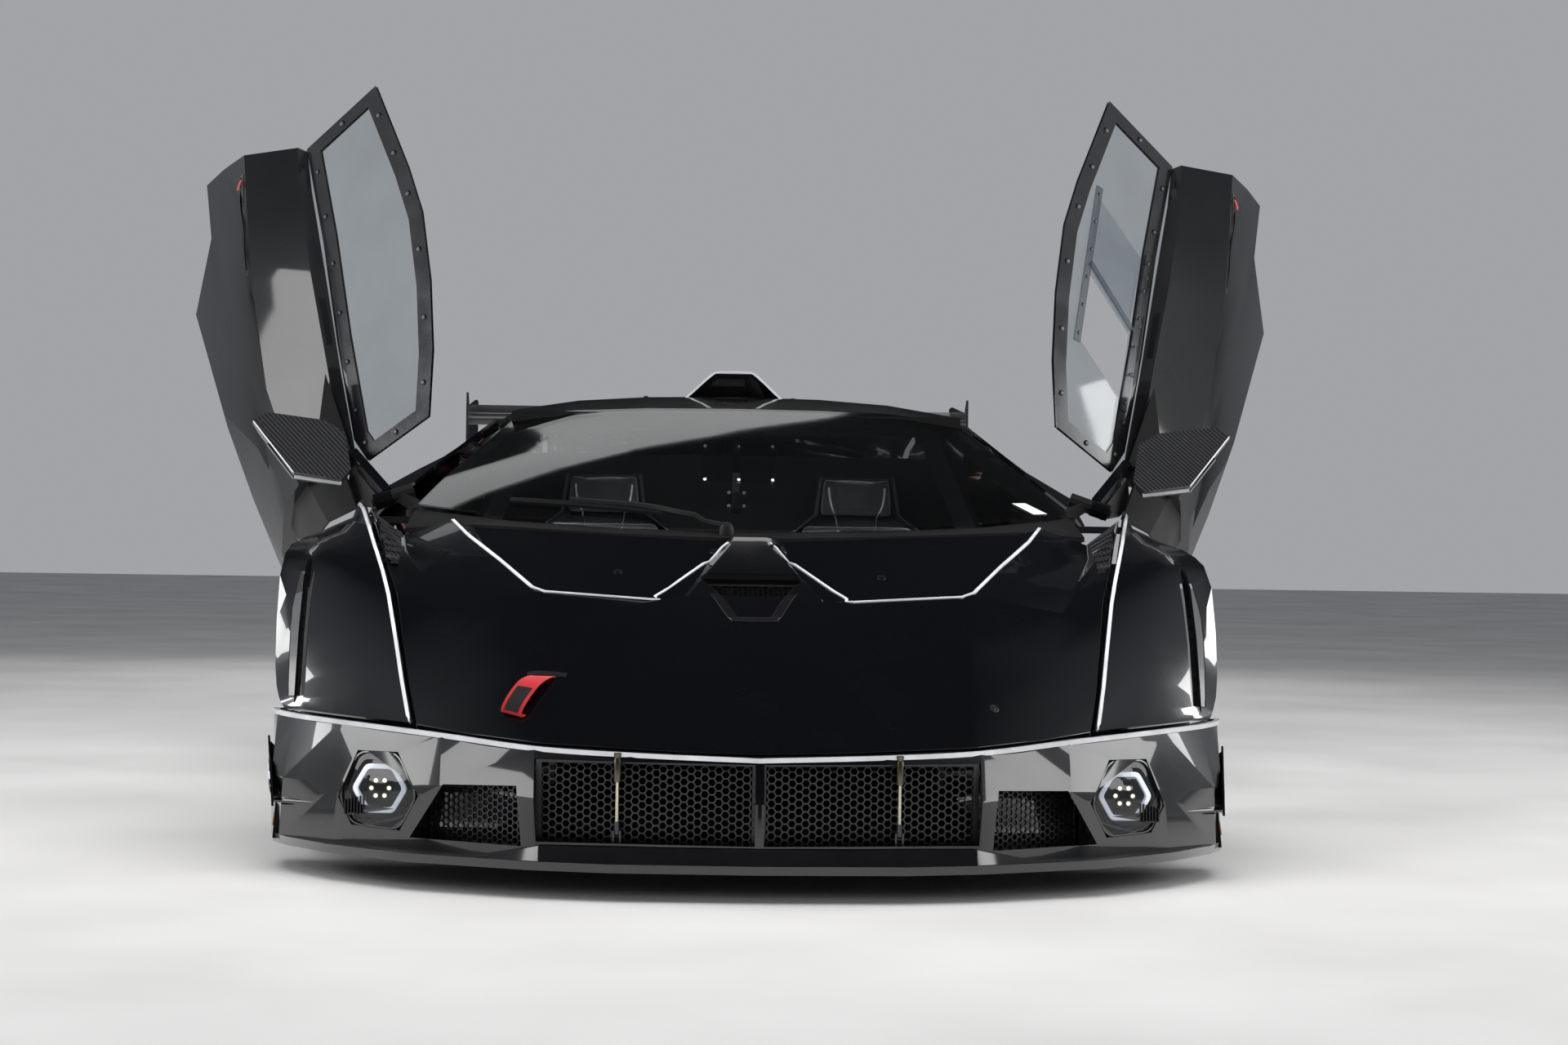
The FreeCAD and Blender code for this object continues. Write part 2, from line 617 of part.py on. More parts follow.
for x, y in JACK_PADS:
    middle = vec(put((x, y, 0)))
    corner = FreeCAD.Vector(middle.x - PAD_SIZE / 2, middle.y - PAD_SIZE / 2, PAD_Z)
    shapes.append(Part.makeBox(PAD_SIZE, PAD_SIZE, put((0, 0, FLOOR_Z + 1))[2] - PAD_Z, corner))
floor = joined_halves(fused(shapes))

# Rear wing: main plane, flap, end plates and two swan necks
WING_HALF_X = 850.0
NECK_X = 240.0
NECK_CLEAR = 4.0


def foil(y, z, chord, thick, rise):
    """Closed section of (y, z) points from the nose round. Rise lifts the trailing edge."""
    shape = [(0.0, 0.0), (0.1, 0.45), (0.35, 0.5), (0.7, 0.35), (1.0, 0.06), (1.0, -0.06),
             (0.6, -0.25), (0.3, -0.5), (0.08, -0.4)]
    return [(y + u * chord, z + w * thick + rise * u * u) for u, w in shape]


span = 2 * WING_HALF_X * BODY_HALF_X / DRAWN_HALF_X
main = side_plate(foil(1930, 1104, 300, 34, 30), -WING_HALF_X, span)
flap = side_plate(foil(2246, 1132, 156, 18, 40), -WING_HALF_X, span)
END_PLATE = [(1850, 1010), (1850, 1195), (1905, 1150), (2380, 1190), (TAIL_Y, 1186), (TAIL_Y, 1050),
             (2300, 985)]
end_plate = side_plate(END_PLATE, WING_HALF_X - 1, PLATE_T)
NECK = [(1640, 600), (1600, 900), (1610, 1100), (1700, 1186), (1950, 1170), (1965, 1104), (1745, 1114),
        (1690, 1054), (1685, 900), (1740, 600)]
neck = side_plate(NECK, NECK_X, NECK_T)
wing = fused([main, flap, end_plate, mirrored(end_plate), neck, mirrored(neck)])
deck = largest(deck.cut(wing))

# Engine and gearbox as one plain block, bolted to the tub's rear bulkhead
BULKHEAD_Y = 380.0
GEARBOX_Z = 520.0
engine_block = box((-320, BULKHEAD_Y, 160), (320, 1180, 720))
gearbox = box((-200, 1180, 180), (200, 1850, GEARBOX_Z))
engine = fused([engine_block, gearbox])

# Exhaust: a silencer on the gearbox with four tail pipes
silencer = box((-230, 1560, GEARBOX_Z), (230, 1860, 740))
neck_room = side_plate(NECK, NECK_X - NECK_CLEAR, NECK_T + 2 * NECK_CLEAR)
silencer = silencer.cut(both(neck_room))
pipes = [silencer]
for x in PIPE_X:
    for sign in (1, -1):
        pipe = tube((sign * x, 1850, PIPE_Z), (sign * x, 2190, PIPE_Z), PIPE_R, PIPE_SIDES)
        bore = tube((sign * x, 1890, PIPE_Z), (sign * x, 2200, PIPE_Z), PIPE_R - 4, PIPE_SIDES)
        pipes.append(pipe.cut(bore))
exhausts = fused(pipes)

# Carbon tub with its sills, bulkheads, screen pillars, roof rails and the front and rear frames
RAIL_X = 400.0
RAIL_W = 40.0
TUNNEL_Z = 240.0
tub_parts = [
    box((-900, -850, TUB_Z), (900, BULKHEAD_Y, TUB_Z + 30)),
    box((-500, -1300, TUB_Z), (500, -840, TUB_Z + 30)),
    box((-510, -1330, TUB_Z), (510, -1300, 660)),
    box((-700, 345, TUB_Z), (700, BULKHEAD_Y, 960)),
    box((-60, -840, TUB_Z), (60, 350, TUNNEL_Z)),
    bar((-600, -385, 1035), (600, -385, 1035), 40, 40),
    bar((-580, 285, 1040), (580, 285, 1040), 40, 40),
    box((-440, -2150, 400), (440, -2110, 440)),
    box((-440, 2010, 560), (440, 2050, 600)),
]
COWL_ROWS = [
    [(0, -1474, 728), (300, -1450, 736), (640, -1404, 752), (806, -1330, 742)],
    [(0, -1418, 742), (300, -1396, 748), (560, -1318, 762), (796, -1150, 786)],
]
tub_parts.append(skin([full_width(r) for r in COWL_ROWS], 12.0, shift=(0, 0, -12)))
one_side = [
    box((700, -850, TUB_Z), (900, BULKHEAD_Y, SILL_Z)),
    box((480, -1310, TUB_Z), (510, -840, 660)),
    box((480, -870, TUB_Z), (900, -840, 660)),
    plan_plate([(905, 70), (915, 75), (712, BULKHEAD_Y), (700, BULKHEAD_Y - 6)], TUB_Z, 700.0),
    bar((785, -1150, 770), (578, -350, 1020), 34, 40),
    bar((785, -1150, 770), (790, -860, 640), 50, 40),
    bar((490, -1310, 640), (785, -1150, 770), 40, 40),
    bar((578, -385, 1020), (584, 60, 1035), 36, 40),
    bar((584, 60, 1035), (556, 290, 1030), 36, 40),
    bar((580, 262, 1030), (868, 60, 320), 40, 60),
    bar((556, 290, 1025), (680, 360, 940), 36, 36),
    box((RAIL_X, -2150, 400), (RAIL_X + RAIL_W, -1300, 440)),
    box((RAIL_X, 360, 560), (RAIL_X + RAIL_W, 2050, 600)),
    box((238, 1650, 560), (RAIL_X + 1, 1730, 600)),
]


def bracket(start, rows, i, j, thickness, inside=(0.0, 0.0, 300.0), shift=None):
    """Bar from the frame to the middle of a panel's thickness at one point of its net."""
    outer = [[put(p) for p in row] for row in rows]
    if shift is None:
        middle = inner_net(outer, thickness / 2, inside)[i][j]
    else:
        middle = tuple(vec(outer[i][j]) + vec(shift) * 0.5)
    a = vec(put(start))
    direction = vec(middle) - a
    return flat(ring_points(tuple(a), direction, 12.0, 4)).extrude(direction)


one_side += [
    bracket((430, -1900, 425), BONNET_ROWS, 4, 5, 0, shift=BONNET_SHIFT),
    bracket((430, -2120, 425), BONNET_ROWS, 2, 4, 0, shift=BONNET_SHIFT),
    bar((422, -1600, 430), (440, -1600, 640), 24, 24),
    bracket((436, -1600, 628), FENDER_ROWS, 3, 1, PANEL_T, FENDER_IN),
    bracket((770, -1140, 760), FENDER_ROWS, 5, 1, PANEL_T, FENDER_IN),
    bracket((430, -2120, 425), BUMPER_ROWS, 3, 1, BUMPER_T, BUMPER_IN),
    bracket((430, -2080, 420), BUMPER_ROWS, 5, 2, BUMPER_T, BUMPER_IN),
    bracket((430, 700, 580), QUARTER_ROWS, 2, 1, PANEL_T, QUARTER_IN),
    bracket((430, 1980, 580), QUARTER_ROWS, 8, 1, PANEL_T, QUARTER_IN),
    bracket((430, 1300, 580), DECK_ROWS, 2, 3, PANEL_T, DECK_IN),
    bracket((420, 2020, 580), TAIL_ROWS, 1, 2, TAIL_T, TAIL_IN),
]

# Door hinge: a pin on the tub at the foot of the screen pillar, an eye on the door's arm
axis = vec(HINGE_AXIS)
EYE_R = 21.0
EYE_W = 44.0
eye_start = vec(HINGE) + axis * -4.0
pin_start = eye_start - axis * 34.0
pin_end = eye_start + axis * (EYE_W + 6)
hinge_pin = pin(tuple(pin_start), tuple(pin_end), PIN_R)
hinge_boss = rod(pin_start - axis * 22, eye_start - axis * 1.0, 18.0, 10)
hinge_stay = bar((775, -1110, 780), (842, -1062, 820), 26, 26)
eye = rod(eye_start, eye_start + axis * EYE_W, EYE_R, 12)

tub = fused(tub_parts + one_side + [mirrored(s) for s in one_side])
for panel in (bonnet, bumper, screen, roof, deck, tail, both(fender), both(quarter)):
    tub = tub.cut(panel)
tub = largest(tub.cut(engine))
clear_eye = pin(tuple(eye_start - axis * 0.5), tuple(eye_start + axis * 60), EYE_R + 4)
hinge_mount = fused([hinge_boss, hinge_stay.cut(clear_eye), hinge_pin])
tub = fused([tub, hinge_mount, mirrored(hinge_mount)])

# Dashboard with its steering column
SEAT_X = 360.0
COLUMN_TILT = 0.3
DASH = [(-1310, 650), (-1240, 700), (-900, 735), (-835, 700), (-850, 575), (-1000, 505), (-1310, 505)]
wheel_center = vec(put((SEAT_X, -640, 640)))
column = FreeCAD.Vector(0, -1, 0.0 - COLUMN_TILT)
column.normalize()
COLUMN_R = 12.0
column_shaft = pin(tuple(wheel_center + column * 10), tuple(wheel_center + column * 340), COLUMN_R)
DASH_HALF_X = 640.0
FOOTWELL_HALF_X = 479.0
DASH_FRONT = [(-1310, 650), (-1240, 700), (-960, 730), (-960, 505), (-1310, 505)]
dash = box((-DASH_HALF_X, -980, 500), (DASH_HALF_X, -820, 760))
dash = dash.common(side_plate(DASH, -DASH_HALF_X, 2 * DASH_HALF_X * BODY_HALF_X / DRAWN_HALF_X))
dash = fused([dash, side_plate(DASH_FRONT, -FOOTWELL_HALF_X, 2 * FOOTWELL_HALF_X)])
dash = largest(dash.cut(tub))
dash = fused([dash, column_shaft])

# Steering wheel: flat-bottomed rim, two spokes and a boss on the column
boss = rod(wheel_center - column * 14, wheel_center + column * 40, 34.0, 12)
boss = boss.cut(pin(tuple(wheel_center + column * 6), tuple(wheel_center + column * 80), COLUMN_R + RUNNING))
RIM_W = 300.0
RIM_H = 230.0
RIM_GRIP = 26.0
across = FreeCAD.Vector(1, 0, 0)
upward = across.cross(column)
if upward.z < 0:
    upward = upward * -1


def rim_loop(half_w, half_h, start):
    """Eight-sided outline of the steering wheel, its foot flat."""
    outline = [(1, 0.45), (0.62, 1), (-0.62, 1), (-1, 0.45), (-1, -0.5), (-0.6, -1), (0.6, -1), (1, -0.5)]
    middle = wheel_center + column * start
    return flat([tuple(middle + across * (u * half_w) + upward * (w * half_h)) for u, w in outline])


grip = rim_loop(RIM_W / 2, RIM_H / 2, 0).extrude(column * RIM_GRIP)
hollow = rim_loop(RIM_W / 2 - RIM_GRIP, RIM_H / 2 - RIM_GRIP, -1).extrude(column * (RIM_GRIP + 2))
grip = grip.cut(hollow)
spokes = []
for sign in (1, -1):
    a = wheel_center + across * (sign * 20) + column * 4
    corners = [a + upward * 18, a - upward * 18, a - upward * 10 + across * (sign * 118),
               a + upward * 10 + across * (sign * 118)]
    spokes.append(flat([tuple(c) for c in corners]).extrude(column * 12))
steering = fused([boss, grip] + spokes)

# Seats: one shell-shaped solid each, squab, bolsters, back and headrest
SEAT_CLEAR = 0.5
seat_floor = TUB_Z + 30 + SEAT_CLEAR
SEAT_SECTIONS = [
    # y, z of the front face, half-width at the bottom and at the bolster, bolster rise
    (-560.0, 262.0, 205.0, 70.0),
    (-300.0, 236.0, 225.0, 95.0),
    (-80.0, 240.0, 235.0, 120.0),
]


def seat_ring(y, top, half, rise):
    return [(SEAT_X - half, y, seat_floor), (SEAT_X + half, y, seat_floor), (SEAT_X + half, y, top + rise),
            (SEAT_X + half - 50, y, top + rise), (SEAT_X + half - 90, y, top), (SEAT_X - half + 90, y, top),
            (SEAT_X - half + 50, y, top + rise), (SEAT_X - half, y, top + rise)]


squab = loft([seat_ring(*row) for row in SEAT_SECTIONS])
BACK_SECTIONS = [
    # z, y of the front face, half-width, bolster depth
    (212.0, -121.0, 226.0, 86.0),
    (520.0, 0.0, 238.0, 110.0),
    (720.0, 80.0, 215.0, 60.0),
    (800.0, 110.0, 110.0, 10.0),
    (900.0, 140.0, 100.0, 24.0),
]


def back_ring(z, y, half, depth):
    rear = y + 90
    return [(SEAT_X - half, rear, z), (SEAT_X + half, rear, z), (SEAT_X + half, y - depth, z),
            (SEAT_X + half - 36, y - depth, z), (SEAT_X + half - 60, y, z), (SEAT_X - half + 60, y, z),
            (SEAT_X - half + 36, y - depth, z), (SEAT_X - half, y - depth, z)]


seat_back = loft([back_ring(*row) for row in BACK_SECTIONS])
seat = fused([squab, seat_back])

# Door skin, drawn shut. Rows run from the front edge to the rear edge.
# Columns: glass ledge, belt, shoulder, waist, bulge, sill, foot
DOOR_ROWS = [
    [(896, -892, 704), (932, -892, 700), (1040, -892, 645), (1066, -892, 560), (1060, -892, 440),
     (1052, -892, 340), (1000, -888, 112)],
    [(889, -610, 736), (922, -610, 740), (1064, -590, 640), (1064, -590, 560), (1060, -590, 440),
     (1056, -590, 345), (1046, -575, 108)],
    [(880, -341, 786), (920, -341, 796), (1055, -302, 710), (1046, -310, 580), (1058, -310, 440),
     (1060, -310, 345), (1072, -330, 106)],
    [(871, -100, 818), (905, -100, 828), (1036, -122, 742), (1030, -60, 600), (1056, -20, 440),
     (1058, -40, 350), (1082, -100, 102)],
    [(862, 12, 838), (889, 19, 850), (1014, 64, 778), (1034, 165, 600), (1050, 255, 425),
     (1054, 130, 350), (1089, 62, 98)],
]
door = skin(DOOR_ROWS, DOOR_T, inside=(700.0, -500.0, 400.0))
HANDLE = [(1000, 15, 752), (1000, 28, 728), (1000, -200, 612), (1000, -205, 640)]
door = door.cut(prism(HANDLE, (120, 0, 0)).cut(prism(HANDLE, (30, 0, 0))))
arm = bar((868, -1050, 806), (905, -862, 712), 24, 34)
door_arm = fused([arm, eye]).cut(pin(tuple(eye_start - axis * 60), tuple(eye_start + axis * 100),
                                     PIN_R + RUNNING))
door = fused([door, door_arm])

# Door window, one flat bolted pane from the belt to the roof rail. Outline of (y, z) points on the
# plane x = WINDOW_X + WINDOW_SWEEP * y - WINDOW_LEAN * z. The driver's one has an open sliding hatch.
WINDOW_X = 1493.6
WINDOW_SWEEP = 0.0954
WINDOW_LEAN = 0.7516
WINDOW = [(-885, 668), (-889, 886), (-800, 922), (-560, 1008), (-372, 1050), (-236, 1058), (32, 1055),
          (16, 805), (-259, 756), (-535, 704), (-810, 668)]
HATCH = [(-440, 946), (-628, 909), (-694, 757), (-508, 795)]


def pane(outline):
    """Flat plate on the window's plane."""
    points = [put((WINDOW_X + WINDOW_SWEEP * y - WINDOW_LEAN * z, y, z)) for y, z in outline]
    inward = FreeCAD.Vector(-1, WINDOW_SWEEP, -WINDOW_LEAN)
    inward.normalize()
    return flat(points).extrude(inward * GLASS_T)


window = largest(pane(WINDOW).cut(door))
hatch = pane(HATCH)

# Mirror head on its arm, carried by the door
MIRROR_TOP = [(957, -1005), (987, -1035), (1096, -1000), (1165, -838), (1128, -818), (990, -858),
              (950, -900)]
MIRROR_FOOT = [(985, -985), (1000, -1000), (1080, -975), (1140, -842), (1110, -826), (1000, -860),
               (980, -900)]
mirror_head = loft([[(x, y, 800) for x, y in MIRROR_FOOT], [(x, y, 856) for x, y in MIRROR_TOP],
                    [(x * 0.998 + 2, y, 872) for x, y in MIRROR_TOP]])
mirror_arm = bar((1000, -870, 815), (955, -818, 688), 60, 18)
mirror = largest(fused([mirror_head, mirror_arm]).cut(door))

# Wheels. Each row: name, axle y, tyre radius, tyre width, rim radius
WHEELS = [
    ("front", FRONT_AXLE_Y, FRONT_TYRE_R, FRONT_TYRE_W, FRONT_RIM_R),
    ("rear", REAR_AXLE_Y, REAR_TYRE_R, REAR_TYRE_W, REAR_RIM_R),
]
TRACK_X = BODY_HALF_X - TRACK_INSET
TYRE_SIDES = 40
DISC_SIDES = 20
HUB_SIDES = 16
SPOKES = 10
RIM_WALL = 10.0
HUB_FACE = 20.0
DISC_R = 190.0
for name, axle_y, radius, width, rim in WHEELS:
    center = (TRACK_X, axle_y, radius)
    half_w = width / 2
    tyre = spun([(-half_w + 14, rim), (-half_w, rim + 34), (-half_w + 5, radius - 24),
                 (-half_w + 28, radius), (half_w - 28, radius), (half_w - 5, radius - 24),
                 (half_w, rim + 34), (half_w - 14, rim)], center, TYRE_SIDES)
    barrel = spun([(-half_w + 6, rim - RIM_WALL), (-half_w + 6, rim), (half_w - 6, rim),
                   (half_w - 6, rim - RIM_WALL), (0, rim - 2.6 * RIM_WALL)], center, TYRE_SIDES)
    hub = spun([(HUB_FACE, SPINDLE_R - 6), (HUB_FACE, 78), (HUB_FACE + 34, 60), (HUB_FACE + 60, 42),
                (HUB_FACE + 60, SPINDLE_R - 6)], center, HUB_SIDES)
    outer_x = half_w - 44
    pieces = [barrel, hub]
    spoke_side = [(HUB_FACE + 2, 64), (HUB_FACE + 36, 56), (outer_x + 22, rim - 6), (outer_x - 12, rim - 6)]
    for k in range(SPOKES):
        outline = [(center[0] + x, center[1] - 11, center[2] + r) for x, r in spoke_side]
        spoke = flat(outline).extrude(FreeCAD.Vector(0, 22, 0))
        spoke.rotate(vec(center), FreeCAD.Vector(1, 0, 0), 360 / SPOKES * k)
        pieces.append(spoke)
    bearing = pin((center[0] - 200, center[1], center[2]), (center[0] + 200, center[1], center[2]),
                  SPINDLE_R + RUNNING)
    wheel = fused(pieces).cut(bearing)
    disc = spun([(-58, 96), (-58, DISC_R), (-24, DISC_R), (-24, 104), (HUB_FACE, 84), (HUB_FACE, 50),
                 (HUB_FACE - 8, 50), (HUB_FACE - 8, 76)], center, DISC_SIDES)
    save_pair("tyre_" + name, tyre)
    save_pair("rim_" + name, wheel)
    save_pair("disc_" + name, disc)

# Uprights: a body on the kingpin, the wheel spindle and a brake caliper
KINGPIN_X = BODY_HALF_X - KINGPIN_INSET
ARM_LOW = 150.0
ARM_HIGH = 130.0
ARM_EYE_R = 22.0
ARM_EYE_H = 24.0
EYE_SIDES = 12
ARM_SIDES = 6
ARM_R = 11.0
UPRIGHT_T = 48.0
CALIPER_T = 84.0
CALIPER_OUT = 208.0
CALIPER_IN = 128.0
LUG_T = 12.0


def plate_between(x0, x1, ends, middle_z, height):
    """Block between two X positions and two Y positions, centred on a height."""
    low = min(ends)
    return Part.makeBox(x1 - x0, max(ends) - low, height, FreeCAD.Vector(x0, low, middle_z - height / 2))


def upright(axle_y, radius, kingpin):
    """Body on its kingpin with the wheel spindle and a caliper, ahead of or behind the axle."""
    center = (TRACK_X, axle_y, radius)
    low = radius - ARM_LOW + ARM_EYE_H / 2 + 1
    high = radius + ARM_HIGH - ARM_EYE_H / 2 - 1
    outline = [(axle_y - 30, low), (axle_y + 30, low), (axle_y + 62, radius), (axle_y + 30, high),
               (axle_y - 30, high), (axle_y - 62, radius)]
    body = flat([(KINGPIN_X - UPRIGHT_T / 2, y, z) for y, z in outline])
    body = body.extrude(FreeCAD.Vector(UPRIGHT_T, 0, 0))
    spindle = pin((KINGPIN_X, axle_y, radius), (center[0] + HUB_FACE + 50, axle_y, radius), SPINDLE_R)
    side = 1 if axle_y < 0 else -1
    caliper_x = center[0] - CALIPER_T
    caliper = []
    for reach, turns in ((CALIPER_OUT, (-46, 0, 46)), (CALIPER_IN, (46, 0, -46))):
        for turn in turns:
            angle = math.radians(turn)
            y = axle_y + side * reach * math.cos(angle)
            caliper.append((caliper_x, y, radius + reach * math.sin(angle)))
    jaws = flat(caliper).extrude(FreeCAD.Vector(CALIPER_T, 0, 0))
    gap = spun([(-64, 60), (-64, DISC_R + 8), (-18, DISC_R + 8), (-18, 60)], center, HUB_SIDES)
    jaws = jaws.cut(gap)
    lug = plate_between(caliper_x - LUG_T, caliper_x, (axle_y + side * 40, axle_y + side * 140), radius, 60)
    web = plate_between(KINGPIN_X, caliper_x, (axle_y + side * 20, axle_y + side * 60), radius, 48)
    return fused([body, kingpin, spindle, jaws, lug, web])


def wishbones(axle_y, radius, frame_z):
    """Upper and lower wishbones with their eyes round the kingpin and a plate on the frame."""
    plate_x = put((RAIL_X + RAIL_W, 0, 0))[0]
    reach = 190.0
    low = radius - ARM_LOW
    high = radius + ARM_HIGH
    plate = Part.makeBox(16, 2 * reach + 60, frame_z - low + 40,
                         FreeCAD.Vector(plate_x, axle_y - reach - 30, low - 30))
    pieces = [plate]
    for z in (low, high):
        foot = vec((KINGPIN_X, axle_y, z - ARM_EYE_H / 2))
        pieces.append(rod(foot, foot + FreeCAD.Vector(0, 0, ARM_EYE_H), ARM_EYE_R, EYE_SIDES))
        for side in (1, -1):
            a = vec((plate_x + 8, axle_y + side * reach, z))
            b = vec((KINGPIN_X, axle_y, z))
            pieces.append(rod(a, b, ARM_R, ARM_SIDES))
    return fused(pieces)


kingpin_low = vec((KINGPIN_X, FRONT_AXLE_Y, FRONT_TYRE_R - ARM_LOW - 8))
kingpin_high = vec((KINGPIN_X, FRONT_AXLE_Y, FRONT_TYRE_R + ARM_HIGH + 8))
knuckle = upright(FRONT_AXLE_Y, FRONT_TYRE_R, pin(tuple(kingpin_low), tuple(kingpin_high), PIN_R))
bore_top = (KINGPIN_X, FRONT_AXLE_Y, 2 * FRONT_TYRE_R)
kingpin_bore = pin((KINGPIN_X, FRONT_AXLE_Y, 0), bore_top, PIN_R + RUNNING)
front_arms = wishbones(FRONT_AXLE_Y, FRONT_TYRE_R, put((0, 0, 440))[2]).cut(kingpin_bore)
rear_arms = wishbones(REAR_AXLE_Y, REAR_TYRE_R, put((0, 0, 600))[2])
rear_low = vec((KINGPIN_X, REAR_AXLE_Y, REAR_TYRE_R - ARM_LOW - 8))
rear_high = vec((KINGPIN_X, REAR_AXLE_Y, REAR_TYRE_R + ARM_HIGH + 8))
rear_upright = upright(REAR_AXLE_Y, REAR_TYRE_R, rod(rear_low, rear_high, PIN_R, ARM_SIDES))
rear_arms = fused([rear_arms, rear_upright])
front_arms = largest(front_arms.cut(tub))
rear_arms = largest(rear_arms.cut(tub))

# Wiper: one long arm and blade that stand on the cowl
wiper = fused([tube((40, -1440, 736), (40, -1440, 790), 12, 8),
               bar((44, -1444, 788), (-270, -1345, 812), 20, 9),
               bar((-110, -1395, 804), (-540, -1262, 826), 8, 12)])
wiper = largest(wiper.cut(tub))

# Meshes are trimmed where they meet the panels that hold them
holders = fused([bumper, splitter])
mouth_net = largest(mouth_net.cut(holders))
duct_net = largest(duct_net.cut(holders))
tail_net = largest(tail_net.cut(fused([tail, tub])))
side_net = largest(side_net.cut(quarter))

save("bonnet", bonnet)
save_pair("fender", fender)
save("front_bumper", bumper)
save("splitter", splitter)
save("grilles", Part.makeCompound([mouth_net, mirrored(mouth_net), duct_net, mirrored(duct_net),
                                   tail_net, mirrored(tail_net), side_net, mirrored(side_net)]))
save("windscreen", screen)
save("roof", roof)
save("engine_cover", deck)
save("roof_scoop", scoop)
save_pair("quarter", quarter)
save("rear_bumper", tail)
save("lamps", Part.makeCompound([head, mirrored(head), back, mirrored(back)]))
save("floor_diffuser", floor)
save("rear_wing", wing)
save("engine", engine)
save("exhausts", exhausts)
save("tub", tub)
save("dashboard", dash)
save("steering_wheel", steering)
save("seats", both(seat))
save_pair("door", opened(door))
save("window_left", opened(window.cut(hatch)))
save("window_right", mirrored(opened(window)))
save_pair("mirror", opened(mirror))
save_pair("knuckle", knuckle)
save("front_arms", both(front_arms))
save("rear_arms", both(rear_arms))
save("wiper", wiper)
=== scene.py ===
import bpy, bmesh, json, math
from mathutils import Matrix, Vector
from mathutils.bvhtree import BVHTree


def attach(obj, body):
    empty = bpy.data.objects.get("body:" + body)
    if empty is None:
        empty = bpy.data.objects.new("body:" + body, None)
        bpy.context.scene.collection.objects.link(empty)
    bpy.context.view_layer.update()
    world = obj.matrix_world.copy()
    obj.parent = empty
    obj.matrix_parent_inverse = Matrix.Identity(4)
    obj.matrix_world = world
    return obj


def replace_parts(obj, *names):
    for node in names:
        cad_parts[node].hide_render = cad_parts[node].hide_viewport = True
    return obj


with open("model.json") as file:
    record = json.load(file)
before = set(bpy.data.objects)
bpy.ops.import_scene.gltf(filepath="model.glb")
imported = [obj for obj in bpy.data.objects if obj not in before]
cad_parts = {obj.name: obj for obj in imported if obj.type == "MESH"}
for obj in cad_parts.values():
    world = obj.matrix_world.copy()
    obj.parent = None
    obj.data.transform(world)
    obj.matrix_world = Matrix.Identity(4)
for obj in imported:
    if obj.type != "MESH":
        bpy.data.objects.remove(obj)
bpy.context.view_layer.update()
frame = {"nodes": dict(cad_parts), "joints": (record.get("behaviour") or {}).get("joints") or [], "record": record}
nodes = frame["nodes"]
scene = bpy.context.scene

# Camera at the photograph's place, turned a little to its right and rolled, in radians
CAMERA_PLACE = (-0.233, -8.557, 0.767)
CAMERA_TURN = -0.0445
CAMERA_ROLL = 0.0147
lens = bpy.data.cameras.new("photo_camera")
lens.lens = 70.0
lens.sensor_width = 36.0
camera = bpy.data.objects.new("photo_camera", lens)
scene.collection.objects.link(camera)
level = Matrix.Rotation(math.radians(90), 4, "X")
camera.matrix_world = (Matrix.Translation(CAMERA_PLACE) @ Matrix.Rotation(CAMERA_TURN, 4, "Z") @ level
                       @ Matrix.Rotation(CAMERA_ROLL, 4, "Z"))
scene.camera = camera
scene.view_settings.view_transform = "Standard"


